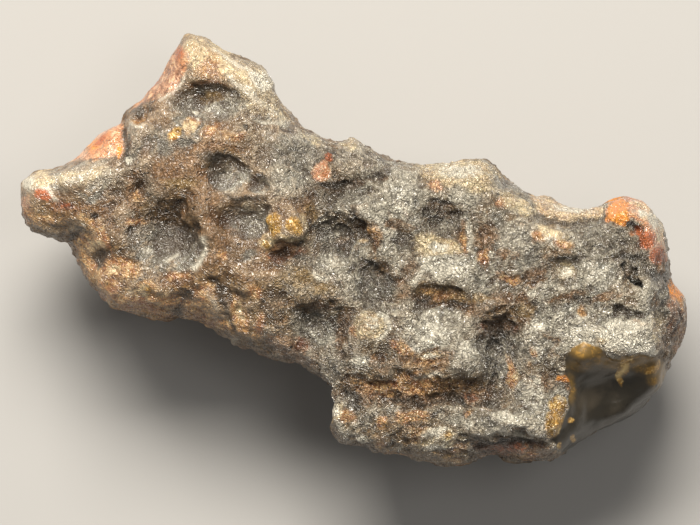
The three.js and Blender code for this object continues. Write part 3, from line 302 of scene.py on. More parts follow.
# The patches of each colour mask.
PATCHES = {
    "slate": [
        (-21, 0.2, 4.4, 2.6, 1.1), (-21.4, 5, 3, 1, 0.8, -8), (-14.8, 8.4, 2.4, 2, 1.2),
        (-10.9, 7.2, 1.3, 1.1, 1.1), (-11.4, 3, 2.2, 2.4, 0.9), (-14, 3.1, 0.8, 0.7, 0.8),
        (-11.9, -0.7, 1.1, 0.6, 0.9), (-16.4, 16.4, 3.4, 1.8, 0.9), (-18.8, 14, 2, 2.2, 1.1),
        (-25.2, 12.2, 1.1, 2.2, 1.1), (-22.4, 12.4, 2, 1.8, 0.7), (-35, 4.2, 1.3, 0.6),
        (-31.4, 2.8, 1.4, 0.6, 0.7, -10), (-29.6, 6.4, 1.8, 1, 0.8), (-29.4, -1.4, 0.9, 0.5, 0.7, 30),
        (-25.4, -3.6, 2.2, 0.9, 0.9, 10), (-1.6, 1.2, 3.6, 2.8), (2.4, -4, 2.4, 2.8, 1.1),
        (-4, -8.8, 3.4, 2.4), (7.8, -6.6, 1.8, 0.5), (10.4, -2.2, 2.4, 0.8, 0.9), (16.2, -11.8, 2.4, 2.6),
        (-0.2, -15.4, 1.6, 2, 0.8), (1.2, -19.2, 0.9, 1.4, 0.8, -20), (4.2, -20.6, 1, 1, 0.8),
        (26.4, -5.4, 1.4, 0.6, 0.9, 10), (31.2, -7.4, 2.2, 0.6, 0.9), (18.8, -16.2, 1.2, 1.8, 0.8),
        (19.2, -1, 1.6, 1.2, 0.7), (35.2, -6.8, 0.7, 1.6, 0.8),
    ],
    # Painted sheen: silvery crust where the surface catches the key light.
    "silver_sheen": [
        (10.6, -1.8, 3.2, 1.5, 1, -6), (9.2, -8.6, 3.2, 1.8, 1.2), (7.4, -10.5, 3, 0.5, 1, -4),
        (12.6, -11.8, 1.6, 2, 1.1), (5.2, 5.4, 2.6, 3, 1.1), (0, 5.2, 2.4, 1.2), (-2.8, -1.4, 2, 1.2, 1.1),
        (3.8, -7, 2.4, 1, 0.7), (-7.6, 8.4, 2.4, 2.6, 1, 8), (-7, 12.2, 3, 1.4, 0.9, -16),
        (-2, -14, 1.2, 2.2, 0.9, 12), (12.6, 5.6, 2, 1.2, 0.9), (18, 1.2, 2.4, 1.4, 0.8),
        (15.6, -3.4, 2.2, 1.6, 0.7), (22, -4.4, 1.8, 1.2, 0.9), (27.2, -3, 2.6, 2), (24, -9, 3.6, 2.2, 1.1),
        (20.8, -10.4, 2.2, 2.4, 0.7), (31, -9.4, 3.2, 1.8, 1.2), (33.2, -4.6, 1, 2.4, 0.8),
        (20.8, -18, 2.6, 2.4), (16.8, -19.8, 3, 0.9, 0.9), (12.4, -19.4, 2, 0.9, 0.8),
        (-11, 3, 1.6, 1.8, 0.95), (-14.6, 7.6, 1.8, 1.3), (-11, 6.8, 0.9, 0.7, 0.9),
        (-3.6, -9.8, 2.4, 1.2, 0.9), (-16, 15.4, 2.4, 1, 0.8), (-19, -1.4, 1.8, 0.8, 0.7, 20),
        (-9.2, 15.2, 1.6, 0.6, 0.9, -6), (-16.6, 20.8, 1.4, 1, 0.9, -20), (-13, 16.4, 1.2, 1, 0.8),
        (-30.4, 9.4, 2.6, 0.7, 0.8, 18), (-33, 8, 4.4, 1.3, 1, 8), (-29, 7.6, 2.4, 1.4, 0.8, 10),
        (-5, -9.4, 2.2, 1, 0.7),
    ],
    # Mostly painted glints where the surface catches the light, and a few pale spots.
    "white_and_glint": [
        (34.1, 3.4, 0.9, 1.6, 0.7, 16), (32.9, 4.2, 0.7, 0.5, 0.7), (-2.6, -1.2, 1.8, 0.8, 0.55),
        (10.4, -1.9, 2.8, 0.8, 0.6, -6), (9, -8.9, 2.6, 1.2, 0.6), (5.6, 5.2, 1.4, 2.2, 0.55),
        (20.6, -8.8, 1.6, 1, 0.6), (27.6, -3.2, 2, 1.4, 0.55), (12.6, -11.4, 1.2, 1.4, 0.6),
        (17.6, -18.9, 2.4, 0.6, 0.7), (20.6, -15.6, 1.2, 2, 0.55), (29.6, -9.6, 1.8, 0.6),
        (31, -10.6, 2.6, 0.6, 0.9), (33.2, -11.4, 1.3, 0.4, 1.1), (23.8, -2.7, 1.1, 0.7, 0.7),
        (20.1, -5, 0.7, 0.5, 0.8), (-17.9, 15.4, 0.5, 0.3, 0.62), (-17.8, 14.5, 0.4, 0.3, 0.75),
        (-25.3, 10, 0.7, 0.6, 0.62), (0.6, -12.6, 1, 0.6, 0.8), (9.2, -20.8, 1.8, 0.7, 0.8, 10),
        (9.2, -22.2, 1.6, 0.5, 0.7), (-2.4, -18.2, 0.7, 0.8, 0.9), (0.9, -21.3, 0.6, 0.5, 0.8),
        (13.2, -19.9, 0.6, 0.5, 0.7), (18.6, -19.4, 1, 0.5, 0.8), (21, -11.2, 0.8, 0.5, 0.7),
        (15.6, -0.6, 0.5, 0.5, 0.7), (-10.9, 19.2, 1.4, 0.9, 1.1, -40), (-37, 7.6, 0.8, 0.8, 0.8),
        (-31, 8.2, 2.2, 0.6, 0.55, 20), (9.6, 0.2, 1.3, 0.7, 0.85), (12, 8.8, 2.8, 0.9, 0.75),
        (1.9, -8.3, 1.2, 1, 0.6), (30.6, -8.8, 3, 0.8, 0.7), (24.6, -9.2, 1.8, 0.6, 0.6),
        (20.9, -17.6, 0.9, 1.4, 0.55), (8.6, -12.1, 1.2, 0.5, 0.6), (25, 4.6, 2.6, 0.4, 0.75, -8),
    ],
    "brown": [
        (-20.6, 4.6, 3.8, 1.8, 1, -4), (-20, 8.4, 3.2, 2.6), (-17.2, 5.6, 1.8, 1.6, 0.9),
        (5.2, -20.6, 5.2, 1.6, 0.75, -8), (-27, -1.8, 2.6, 0.8, 0.8, 20), (-35.6, 3.6, 2.2, 1, 0.8),
        (14.6, -16.8, 1.6, 1.2, 0.7), (36.4, -5.6, 1.2, 2.4, 0.8), (-15.6, 11.4, 4, 0.9, 0.9),
        (-24.8, 6, 1.1, 2.6, 1.1), (-31.6, 4.6, 3.4, 1, 1.1, -4), (-34.2, 2.8, 2.2, 0.6, 0.9),
        (-27, 0.6, 1.2, 1.8, 0.8), (-15.8, 2.6, 1.4, 3.4, 1, 4), (-16.2, -2.4, 1.4, 1.8, 1, 20),
        (-12.8, -3.6, 2.4, 0.8, 0.9, -16), (-5.2, -5.8, 3.8, 0.8, 1.1, 6), (-8.2, -9.6, 1, 3),
        (-1.2, -8.6, 0.8, 3, 1, 4), (-19.6, -4.6, 1.2, 0.8), (-21.4, -7, 3, 0.7, 1, -6),
        (-5, 4.6, 1, 1.4, 1, -20), (-1.6, 7.4, 2.8, 0.9, 1.1, 6), (2.6, 8.2, 1.6, 0.5, 1, -14),
        (1.2, 3.4, 1.8, 0.7, 1.1, -40), (2.4, 1.4, 0.6, 1.4), (5.4, 2.6, 2, 0.7, 1.1, -8),
        (3.4, -1.2, 1.8, 0.6, 1, -30), (5.2, -3.2, 0.7, 1.4, 0.8, 10), (6.6, -1.8, 0.9, 1.2, 0.7),
        (10, 4.6, 2, 0.9), (12.4, 1.6, 0.7, 1.8), (9, -5.2, 3.4, 1.2, 1.3, -2),
        (13.2, -6.2, 1.6, 0.9, 1.1, -10), (16.8, -6.6, 3.6, 1.4, 1.3), (15, 1.2, 1.2, 2.2, 0.9, 10),
        (17.4, -0.6, 1.2, 0.6, 0.8), (17.4, -3.2, 1.6, 0.7), (20.4, -3, 1.2, 1, 1.1, 40),
        (22.8, -0.8, 1.6, 0.8, 1.1, 20), (20.6, 1.2, 1, 0.6, 0.8), (24, -5.6, 2.2, 0.4, 0.9, 4),
        (28.7, -5.5, 1.4, 0.5, 1.1), (25.9, -4.8, 1.2, 0.5, 0.8, 20), (18.8, -7.6, 1.6, 0.8, 0.8, 10),
        (22.4, -9.6, 1.4, 0.4, 0.7), (7, -15.4, 7.6, 2.1, 1.4), (7.4, -12.8, 3.2, 1.3, 1.2, 10),
        (3, -12.6, 1.2, 0.9, 0.9), (7, -21.6, 1.4, 2), (3, -21.6, 1.6, 1.2, 0.8),
        (10.6, -23.6, 2.8, 1, 1.2, -6), (21.4, -15, 1.8, 1.2, 0.8), (24.5, -15.8, 0.7, 1.2, 0.9),
        (34.2, -14.9, 1, 1, 0.9), (32, -17.2, 2, 0.6, 0.8, 34), (36.2, -9.6, 0.9, 2, 0.8),
    ],
    "rust": [
        (-7.6, -0.2, 1.6, 1.2, 1.2, 10), (-7.4, -11.4, 3, 1.2, 1.1, -20), (-3.6, -6.4, 1.6, 0.4, 0.8, 8),
        (-33, 5, 1.4, 0.4, 1, -10), (-36.9, 4.6, 0.7, 1.6, 0.9), (16.2, -8.9, 2, 1, 1.1),
        (5, -16, 4, 0.8, 0.8), (10, -15.6, 2.6, 0.6, 0.8), (16.4, -22.4, 2.4, 1.2, 1.3),
        (20.8, -23, 2.4, 0.9), (-16.8, 18.8, 2.2, 0.5, 0.9), (-18.6, -5.2, 1.2, 0.7, 0.8),
        (6.4, -14.6, 1.8, 0.6, 0.7), (13.2, -16.4, 1, 0.5, 0.9), (2.2, -14.6, 1.8, 0.6, 0.8),
        (36.8, -7.6, 1.2, 2.4, 1.3),
    ],
    "olive": [
        (9.8, -4.8, 3.2, 0.9, 1.2, -4), (19.4, -6.8, 1.6, 0.6, 0.9), (-20, 7.4, 1.8, 0.9, 0.9),
        (-4.4, -4.6, 3, 0.6, 0.8, 10), (-4.9, 4.4, 0.8, 1, 0.9, -20), (-16, 17.2, 1.8, 0.7, 0.8),
        (-6.6, -3.2, 3.4, 1.2, 0.7), (12, -24, 2, 0.7, 1.1), (22.8, 2, 2, 0.8, 0.7, -6),
        (14.4, -5.4, 1.4, 0.5, 0.9), (34.6, -12.8, 0.4, 1.2, 0.8),
    ],
    # Mostly painted shadow in crevices, under ledges and in holes, with a few dark inclusions.
    "dark": [
        (-24.8, 15.8, 0.8, 0.4, 0.9, 40), (-23.6, 16, 0.3, 0.3, 0.7), (17.6, -22.2, 3, 0.35, 0.8),
        (16.2, -9.8, 2.4, 1.6, 0.75), (12, -5.9, 2, 0.35, 0.8, -8), (15.6, -13.2, 1.6, 1.4, 0.7),
        (-16.8, 18.2, 2.4, 0.5, 0.9), (-15.4, 10.4, 2.2, 0.5), (-10.8, 8.5, 1.2, 0.35, 0.9),
        (-12.4, 5.8, 2.4, 0.4, 0.8), (30.6, -2.3, 0.8, 0.35, 1.1, -55), (31.9, -3.7, 0.9, 0.45, 1.4, -40),
        (30.9, 2.9, 0.9, 0.4, 1.3, -10), (31.4, -7.3, 1.4, 0.25, 0.8, 8), (29.6, -6.8, 0.7, 0.35, 0.8),
        (28.8, 0.4, 1, 0.4, 0.9, 10), (30.8, -1, 1.2, 0.5, 0.9), (33.9, -2.8, 1, 0.7, 0.9),
        (36.4, -7.9, 1, 1.4, 0.7), (35.4, -4.4, 0.5, 1.6, 0.8), (7.4, -17.3, 5.4, 0.4, 0.7),
        (8.4, -15, 2.6, 0.35, 0.8), (3.2, -16, 0.9, 0.3, 0.9), (12.2, -17.3, 0.8, 0.4, 1, -20),
        (9.4, -18.8, 1.4, 0.35, 0.9, 16), (-0.2, -17.2, 0.8, 1.2, 0.9), (33.7, -15.7, 0.5, 0.35, 1.3),
        (30.8, -17.4, 0.8, 0.4, 1.1, 34), (7.6, -6.1, 1.6, 0.3, 0.6), (0.6, 3.6, 1.6, 0.4, 1, -30),
        (2, -1, 1.4, 0.35), (0, -1.8, 0.8, 0.35, 0.9, 40), (4.5, -2.8, 0.4, 1.2, 0.8, 20),
        (-2.6, 7.6, 1.6, 0.5, 1, 10), (2.4, 8.4, 1.4, 0.35, 1, -10), (-6.6, 11.1, 1.8, 0.35),
        (9.6, 5.4, 1.6, 0.4), (8.2, 3.2, 0.4, 1.6, 0.8), (23.2, -1.1, 1.6, 0.4, 1.1, 14),
        (25.6, -5.3, 1, 0.35, 1, 30), (20.8, -6.2, 0.7, 0.3, 0.9), (-25, 2.2, 0.6, 0.5, 1.1),
        (-24.4, 7.4, 0.7, 1, 0.6, 10), (-29.3, 3.7, 0.5, 0.3, 1.1), (-33.8, 2.9, 1.4, 0.4, 0.9),
        (-28.2, -1.3, 1.2, 0.3, 0.6, 20), (-20, -6.7, 0.8, 0.5, 0.8, 10), (-19.2, -5.4, 0.7, 0.5),
        (-13.2, -5.3, 1, 0.4, 0.8, -34), (-15.2, -5.4, 0.5, 1.8, 0.8, 26),
        (-13.8, -8.6, 0.45, 1.4, 0.65, 22), (-6, -0.9, 0.7, 0.5), (-10.6, -5.9, 0.5, 0.4, 0.9),
        (-5.6, -7.2, 1.8, 0.35, 0.9), (-25.6, 11, 0.5, 1.2, 0.8), (15.3, -19.5, 1, 0.6, 0.9),
        (16, -21.4, 2, 0.4), (14.8, -17.4, 1.2, 0.7, 0.7),
    ],
    "crumple": [
        (28.8, 0.8, 3.4, 1.6, 1.1), (31.8, -1.4, 2, 1.8), (-19.8, 16.8, 1.4, 1.8, 1.1, -20),
        (-13.2, 17.2, 1.2, 1.2), (-1.4, 6.2, 3.2, 1.6, 1.1), (1.4, 8.6, 3, 0.9, 0.9),
        (-6.8, 11.4, 3.4, 1.8, 0.9, -10), (16.2, -12, 2.2, 2.4), (16, -18.8, 2.4, 1.4, 0.9),
        (9.6, 3.6, 1.8, 1.6), (-3, 2.2, 1.8, 1.8, 0.9), (-4.4, -8.6, 3, 1.4, 0.7),
        (6.4, 4.8, 1.6, 2.4, 0.6), (22.4, -12, 2, 2.6, 0.6), (35, -5.8, 0.8, 1.6, 0.8),
        (26, 1.2, 1, 1.2, 0.9), (-2, -13.4, 1.6, 2.2, 0.7),
    ],
    "amber": [
        (-24.3, 15.1, 0.8, 0.5, 0.85, 40), (7.6, -20.9, 1.6, 0.6, 0.55), (11.6, -22.6, 1.6, 0.6, 0.6),
        (6.4, -15.3, 6, 1.1, 0.8), (9.4, -5, 2.8, 0.5, 0.6, -4), (7.6, -12.9, 2.6, 0.9, 0.5, 10),
        (-34.6, 3.6, 2, 0.7, 0.6), (-26.6, -2.3, 2.2, 1.4, 1.1, -10), (-28.6, -3.2, 1.6, 1.2, 0.8, -40),
        (-22, -5.8, 2.4, 0.8, 0.8, -6), (-25.8, -5.6, 2.2, 0.8, 0.8, -20),
        (-27.6, -4.6, 1.6, 1.6, 0.8, -30), (-23.6, -4.7, 1.3, 0.8, 1.2, 20),
        (-24.2, -6.8, 3.4, 0.8, 1.1, -4), (-28.4, -5.2, 1.4, 1, 1, -40), (-16.4, -8.2, 2.2, 0.6, 0.9, -20),
        (-31.6, -2.6, 0.6, 1.6, 0.9, 30), (-33, 1, 1.2, 0.6, 0.7, -20), (4.6, -23.2, 1.6, 0.5, 0.8, -8),
        (-30.6, -1.2, 0.7, 2, 0.9, 24), (-29.6, 1.2, 1.6, 0.9, 0.8), (-28.1, 1.4, 0.5, 1.8, 1, 14),
        (-30, 3.2, 1.6, 0.5, 0.8, -24), (-24.6, 3, 1.1, 0.35, 1, 6), (-18, -7, 1.6, 1, 0.8, -10),
        (-17, -4.8, 0.8, 1.4, 0.8, 30), (-20, -3, 1.4, 0.6, 0.8), (-15, -0.7, 0.7, 0.5),
        (-11.7, -4.9, 0.9, 0.9, 1.1), (-13, -7.6, 0.8, 1.9, 1.2, 20), (-10.6, -9, 0.8, 1.2, 0.8),
        (-14.9, -8.6, 0.7, 0.6, 0.9, -30), (-36.6, 4, 0.6, 1.4, 0.7), (-18.4, 13.8, 1.2, 0.6, 0.9, 10),
        (-16, 13.2, 1.2, 0.6, 0.8, 40), (-13.4, 13, 1.6, 0.7, 0.6), (-16.6, 21, 2.2, 1.4, 0.8, -24),
        (-24.6, 5.6, 0.6, 0.8, 0.7), (0.6, -8.8, 0.6, 0.8, 0.9), (5.6, -11, 1.2, 0.7, 1.1, -30),
        (2.4, 1.8, 0.4, 0.8, 0.8), (12.5, 1.2, 0.5, 1.4, 0.9), (14.8, -1, 0.9, 0.9, 0.9),
        (17.8, -3.6, 1, 0.5, 0.8), (4.8, -14.9, 1, 0.5, 0.9), (8.2, -15.5, 1.6, 0.5, 0.8),
        (11.4, -14.8, 1, 0.5, 0.7), (2.6, -15.4, 0.8, 0.5, 0.8), (4.2, -16.6, 1, 0.4, 0.7),
        (3.2, -19.4, 0.7, 0.5, 1.2), (6.6, -18.9, 1.6, 0.7, 1.2, 6), (-1, -19, 1.2, 0.8, 1.1),
        (13, -18.6, 0.8, 0.5, 0.8), (17.8, -13.8, 0.6, 1.8, 1, 6), (19.6, -13, 0.5, 0.4, 0.8),
        (20.4, -11.4, 0.6, 0.5, 0.8), (23.5, 0.8, 0.9, 0.6), (20.8, 1.4, 0.9, 0.5, 0.8),
        (25.6, -7, 0.6, 0.6, 1.1), (32.4, -8.4, 0.7, 0.4, 0.8), (19.8, -23.6, 1.2, 0.4),
        (2.8, -21.4, 0.9, 1, 0.7), (37, -10.8, 0.5, 0.8, 0.8), (37.4, -6.2, 0.5, 1.4, 1.1),
        (37.1, -8.8, 0.5, 1, 0.9), (11.4, -24, 1.6, 0.5, 0.6),
    ],
    "cream": [
        (-27.2, -2.6, 1.6, 0.8, 0.6, -10), (-24, -5, 1.4, 0.6, 0.65, 10), (-29, 0.8, 1, 0.6, 0.6),
        (34.2, 3.6, 0.9, 2.2, 0.8, 14), (32.6, 4.8, 1.4, 0.5, 0.7, -20), (-35.4, 7.9, 1.8, 0.8, 0.9, 8),
        (-31.4, 8.3, 3, 0.8, 0.75, 14), (-18.4, 22.6, 1.4, 1.8, 0.9, 10), (-15.2, 22.2, 2.2, 0.6, 0.9, -32),
        (-11.4, 19.2, 1.4, 1.8, 1.1, 30), (-14, 20.6, 1.6, 0.8, 0.8, -20), (11.8, 8.8, 3.6, 1.2, 1.4, -4),
        (14.2, 7.6, 2, 1.2, 0.8), (18.6, 5.2, 2.2, 0.8, 1, -36), (9.7, 0.4, 1.9, 1.1, 1.5, -6),
        (23.8, -2.7, 1, 0.6), (22.4, 2, 1.6, 0.6, 0.8, -6), (1.9, -8.4, 1.4, 1.2, 1.1),
        (0.8, 1, 0.5, 0.4, 0.8), (28.2, -10, 1, 0.5, 0.7), (-2.4, -18.4, 0.8, 1), (-0.3, 12, 1, 0.6, 0.7),
        (9.6, -21.2, 2.2, 0.9, 0.9), (8.6, -12, 1.6, 0.4, 0.7), (-9.4, 0.9, 1, 0.5, 1, 20),
        (-7, 1.6, 1.4, 0.4, 0.9), (-5.9, 3, 0.4, 1, 0.8), (-18.6, 13.5, 0.9, 0.4, 0.9),
        (33.2, 3.8, 0.7, 0.4, 0.8), (34.6, 1.4, 0.4, 1, 0.9, 10), (-12.9, -6.8, 0.5, 0.9, 0.8, 16),
        (18.4, -14.2, 0.4, 1, 0.7), (-4.8, 12.6, 1.8, 0.5, 0.6, -24), (34.2, -9, 0.8, 1.8, 0.7),
    ],
    "orange": [
        (24.3, -14.5, 1.3, 0.5, 1, 4), (36.7, -4.7, 0.8, 1.4, 0.8, 34), (-29.6, 12, 1, 0.5, 0.8, 30),
        (-26.7, 11.2, 0.3, 1, 0.8), (-20.5, 13.1, 0.6, 0.5, 1, 20), (30.8, -23.2, 0.6, 0.3, 0.7),
    ],
    "red": [
        (17.4, -22.5, 3.4, 0.8, 0.5), (33.2, 1.1, 0.8, 0.9, 1.3, 16), (34.4, -0.7, 0.7, 0.8, 1.3, 16),
        (32.2, 2.2, 0.5, 0.5, 0.9), (-35.3, 6.3, 1, 0.6, 1.1, -24), (-32.8, 5.1, 0.7, 0.3, 0.7),
        (-3, 10.4, 0.5, 0.4, 0.9), (-19.9, 22.4, 0.6, 1.2, 0.7), (-28.8, 12.4, 1.2, 0.3, 0.8, 34),
        (-22.6, 18.9, 1.2, 0.3, 0.7, 50), (31.2, 5.6, 0.6, 0.3, 0.6),
    ],
    "salmon": [
        (-3.8, 8.8, 0.9, 0.8, 1.25, 30), (-3.4, 9.6, 0.4, 0.5, 0.9), (9.3, 7.3, 1.1, 1, 0.6),
        (10.8, 8.6, 0.9, 0.4, 0.6), (16.8, 5.3, 1, 0.7, 0.62, -30), (23.4, 4.9, 1.6, 0.6, 0.58, -8),
        (-37.2, 5.4, 0.6, 0.9, 0.8), (-24.4, 17.2, 1.6, 0.7, 0.8, 44), (31.2, 1.8, 0.6, 0.4, 0.7),
        (36.6, -10.8, 0.6, 0.8, 0.6),
    ],
    "yellow": [
        (-8.8, 2.8, 0.6, 1.1, 1.3), (-7, 2.9, 0.7, 0.7, 1.1, 20), (-9.8, 0.6, 0.4, 0.4),
        (22.6, -19.6, 0.8, 1.3, 1.5, -14), (23, -17.8, 0.9, 1, 1.3), (30.6, -13.1, 0.4, 1, 1.4, 14),
        (30.2, -14.3, 0.28, 1, 1.3, 16), (31.4, -12.1, 0.3, 0.6, 1, -40), (33.8, -13.5, 0.8, 0.35, 1.3, 14),
        (34.5, -12.9, 0.25, 0.5), (24.6, -19.2, 0.35, 0.25), (24.9, -21.3, 0.3, 0.5, 1.1),
        (23.3, -22.2, 0.3, 0.4, 0.9), (-20.4, 13.2, 0.8, 0.5, 1, 20), (-23.4, -4.7, 0.6, 0.4, 0.7),
        (10.6, -20.9, 0.6, 0.5, 0.7), (-3.2, -19.6, 0.4, 1, 1, 20),
    ],
    "glass": [],
    "polish": [
        (16.4, -22.4, 2.4, 1.2, 0.4), (20.8, -23, 2.4, 0.9, 0.5), (-35.6, 6.6, 3, 2.4, 0.5),
        (9.2, -23.6, 4, 0.8, 0.5, -8), (36.8, -5.4, 0.9, 1.8, 0.6, 30), (22.6, 1.6, 2.4, 1.2, 0.7, -10),
        (10.2, -4.4, 2.8, 0.5, 0.5, -4), (-2.2, -18.8, 1.2, 1.6, 0.5), (34, -15.4, 1.2, 1.2, 0.6),
        (22.8, -19, 0.8, 1.6, 0.6), (28.7, -5.5, 1.4, 0.5, 0.5),
    ],
    "honey": [
        (26.4, -11.2, 1.8, 1, 1.2), (33, -13, 2, 0.8, 1.1, -10), (29.6, -12.9, 1.6, 0.6),
        (24.6, -15.8, 0.6, 1.6, 0.9), (34.2, -14.6, 1, 1.2, 0.9), (26, -13, 2.2, 0.8, 0.5),
    ],
}


# --- noise

HASH_PRIMES = (73856093, 19349663, 83492791)
SEED_PRIME = 2654435761
HASH_FACTORS = (2246822519, 3266489917)
LOW_BITS = 0xFFFFFFFF
WAVE_GAIN = 1.6  # brings gradient noise to about -1 to 1


def smooth_step(t):
    t = np.clip(t, 0.0, 1.0)
    return t * t * (3.0 - 2.0 * t)


def ramp(value, start, end):
    """Smoothly from 0 at start to 1 at end, whichever of them is greater."""
    return smooth_step((value - start) / (end - start))


def hashed(cell, seed):
    """A number from 0 to 1 for each row of whole numbers."""
    c = cell.astype(np.int64)
    h = (seed + 1) * SEED_PRIME
    for axis, prime in enumerate(HASH_PRIMES):
        h = h ^ c[..., axis] * prime
    h &= LOW_BITS
    for factor in HASH_FACTORS:
        h ^= h >> 15
        h = (h * factor) & LOW_BITS
    h ^= h >> 16
    return h / 2.0**32


def wave(points, span, seed):
    """Smooth gradient noise, about -1 to 1, with waves as long as span."""
    p = points / span
    base = np.floor(p)
    f = p - base
    ease = f * f * f * (f * (f * 6 - 15) + 10)
    total = np.zeros(len(p))
    for n in range(8):
        offset = np.array([n & 1, (n >> 1) & 1, n >> 2], float)
        corner = base + offset
        gradient = np.stack([hashed(corner, seed + k) * 2 - 1 for k in (0, 101, 202)], 1)
        share = np.prod(np.where(offset > 0, ease, 1 - ease), 1)
        total += share * np.einsum("ij,ij->i", gradient, f - offset)
    return total * WAVE_GAIN


def billow(points, span, octaves, seed):
    return sum(wave(points, span / 2**n, seed + 7 * n) / 2**n for n in range(octaves))


def drift(points, *waves):
    """Offsets summed from waves of size, span and seeds, with a seed for each axis."""
    total = 0
    for size, span, seeds in waves:
        total = total + size * np.stack([wave(points, span, seed) for seed in seeds], 1)
    return total


def cell_distance(points, span, seed):
    """Distance to the nearest of scattered points, and to the second nearest, in shares of span."""
    p = points / span
    base = np.floor(p)
    near = np.full(len(p), 9.0)
    second = near.copy()
    for n in range(27):
        corner = base + (n // 9 - 1, n // 3 % 3 - 1, n % 3 - 1)
        spot = corner + np.stack([hashed(corner, seed + k) for k in (0, 31, 62)], 1)
        d = np.linalg.norm(spot - p, axis=1)
        second = np.minimum(second, np.maximum(near, d))
        near = np.minimum(near, d)
    return near, second


# --- mesh


def welded(mesh):
    mesh.calc_loop_triangles()
    points = np.zeros(len(mesh.vertices) * 3, np.float32)
    mesh.vertices.foreach_get("co", points)
    faces = np.zeros(len(mesh.loop_triangles) * 3, np.int32)
    mesh.loop_triangles.foreach_get("vertices", faces)
    points = np.round(points.reshape(-1, 3).astype(float) / MM, 3)
    unique, inverse = np.unique(points, axis=0, return_inverse=True)
    return unique, inverse.reshape(-1)[faces.reshape(-1, 3)]


def edges_of(faces):
    """Each edge once, and which edge every side of every face is."""
    pairs = np.sort(faces[:, [0, 1, 1, 2, 2, 0]].reshape(-1, 2), axis=1)
    edges, inverse = np.unique(pairs, axis=0, return_inverse=True)
    return edges, inverse.reshape(-1)


def neighbour_sum(values, edges):
    total = np.zeros_like(values)
    np.add.at(total, edges[:, 0], values[edges[:, 1]])
    np.add.at(total, edges[:, 1], values[edges[:, 0]])
    return total


def refined(points, faces, wanted):
    """Splits the edges for which wanted(middles, lengths) holds, by the rules of Loop subdivision."""
    edges, inverse = edges_of(faces)
    opposite = np.zeros((len(edges), 3))
    np.add.at(opposite, inverse, points[faces[:, [2, 0, 1]].reshape(-1)])
    middles = 0.375 * (points[edges[:, 0]] + points[edges[:, 1]]) + 0.125 * opposite
    split = wanted(middles, np.linalg.norm(points[edges[:, 0]] - points[edges[:, 1]], axis=1))

    valence = np.bincount(edges.reshape(-1), minlength=len(points)).astype(float)
    share = np.where(valence == 3, 3 / 16, 3 / (8 * valence))
    whole = np.bincount(edges[split].reshape(-1), minlength=len(points)) == valence
    share = np.where(whole, share, 0)[:, None]
    kept = points * (1 - valence[:, None] * share) + neighbour_sum(points, edges) * share

    number = len(points) - 1 + np.cumsum(split)
    new = np.where(split, number, -1)[inverse.reshape(-1, 3)]
    marks = (new >= 0).sum(1)
    pieces = [faces[marks == 0]]
    a, b, c = faces[marks == 3].T
    ab, bc, ca = new[marks == 3].T
    pieces += [np.stack(t, 1) for t in ((a, ab, ca), (b, bc, ab), (c, ca, bc), (ab, bc, ca))]
    for marked, first in ((1, np.argmax(new >= 0, 1)), (2, np.argmin(new >= 0, 1))):
        turn = (first[:, None] + np.arange(3)) % 3
        chosen = marks == marked
        a, b, c = np.take_along_axis(faces, turn, 1)[chosen].T
        ab, bc, ca = np.take_along_axis(new, turn, 1)[chosen].T
        if marked == 1:
            triangles = ((a, ab, c), (ab, b, c))
        else:
            triangles = ((c, ca, bc), (a, b, bc), (a, bc, ca))
        pieces += [np.stack(t, 1) for t in triangles]
    return np.vstack([kept, middles[split]]), np.vstack(pieces)


def normals_of(points, faces):
    a, b, c = (points[faces[:, n]] for n in range(3))
    face = np.cross(b - a, c - a)
    normals = np.zeros_like(points)
    for n in range(3):
        np.add.at(normals, faces[:, n], face)
    return normals / np.linalg.norm(normals, axis=1)[:, None]


# --- shapes seen from above


def along_path(x, y, path):
    """Signed distance from a path, positive on its left, and distance along it from the nearer end."""
    best = np.full(len(x), 1e9)
    side = np.ones(len(x))
    travel = np.zeros(len(x))
    travelled = 0.0
    for (ax, ay), (bx, by) in zip(path, path[1:]):
        dx, dy = bx - ax, by - ay
        length = math.hypot(dx, dy)
        foot = np.clip(((x - ax) * dx + (y - ay) * dy) / length, 0, length)
        distance = np.hypot(x - ax - dx * foot / length, y - ay - dy * foot / length)
        nearer = distance < best
        best = np.where(nearer, distance, best)
        side = np.where(nearer, np.where(dx * (y - ay) - dy * (x - ax) >= 0, 1.0, -1.0), side)
        travel = np.where(nearer, travelled + foot, travel)
        travelled += length
    return best * side, np.minimum(travel, travelled - travel)


def turned(x, y, cx, cy, degrees):
    angle = math.radians(degrees)
    dx, dy = x - cx, y - cy
    return dx * math.cos(angle) + dy * math.sin(angle), dy * math.cos(angle) - dx * math.sin(angle)


def ledge(x, y, path, drop, reach):
    """A lip on the path's left that falls away over reach, with a hollow at its foot."""
    signed, from_end = along_path(x, y, path)
    lip = ramp(signed, -LEDGE_EDGE, LEDGE_EDGE) * np.exp(-((np.maximum(signed, 0) / reach) ** 2))
    foot = np.exp(-((signed / LEDGE_FOOT + 1) ** 2)) * (signed < LEDGE_EDGE)
    return drop * (LIP_SHARE * lip - FOOT_SHARE * foot) * ramp(from_end, 0, LEDGE_END)


def scoop(x, y, cx, cy, wide, up, down, depth, turn=0):
    u, v = turned(x, y, cx, cy, turn)
    q = (u / wide) ** 2 + (v / np.where(v > 0, up, down)) ** 2
    return -depth * np.maximum(1 - q, 0) ** 1.2


def strip(x, y, path, height, half):
    signed, from_end = along_path(x, y, path)
    return height * np.exp(-((signed / half) ** 2)) * ramp(from_end, 0, STRIP_END)


def patch(x, y, cx, cy, wide, high, strength=1, turn=0):
    """An oval that is half as strong at its edge and gone at 1.6 times its size."""
    u, v = turned(x, y, cx, cy, turn)
    q = np.sqrt((u / wide) ** 2 + (v / high) ** 2)
    return strength * np.clip(1.3 - 0.8 * q, 0, 1)


def patch_mask(x, y, patches):
    value = np.zeros(len(x))
    for entry in patches:
        value = np.maximum(value, patch(x, y, *entry))
    return value


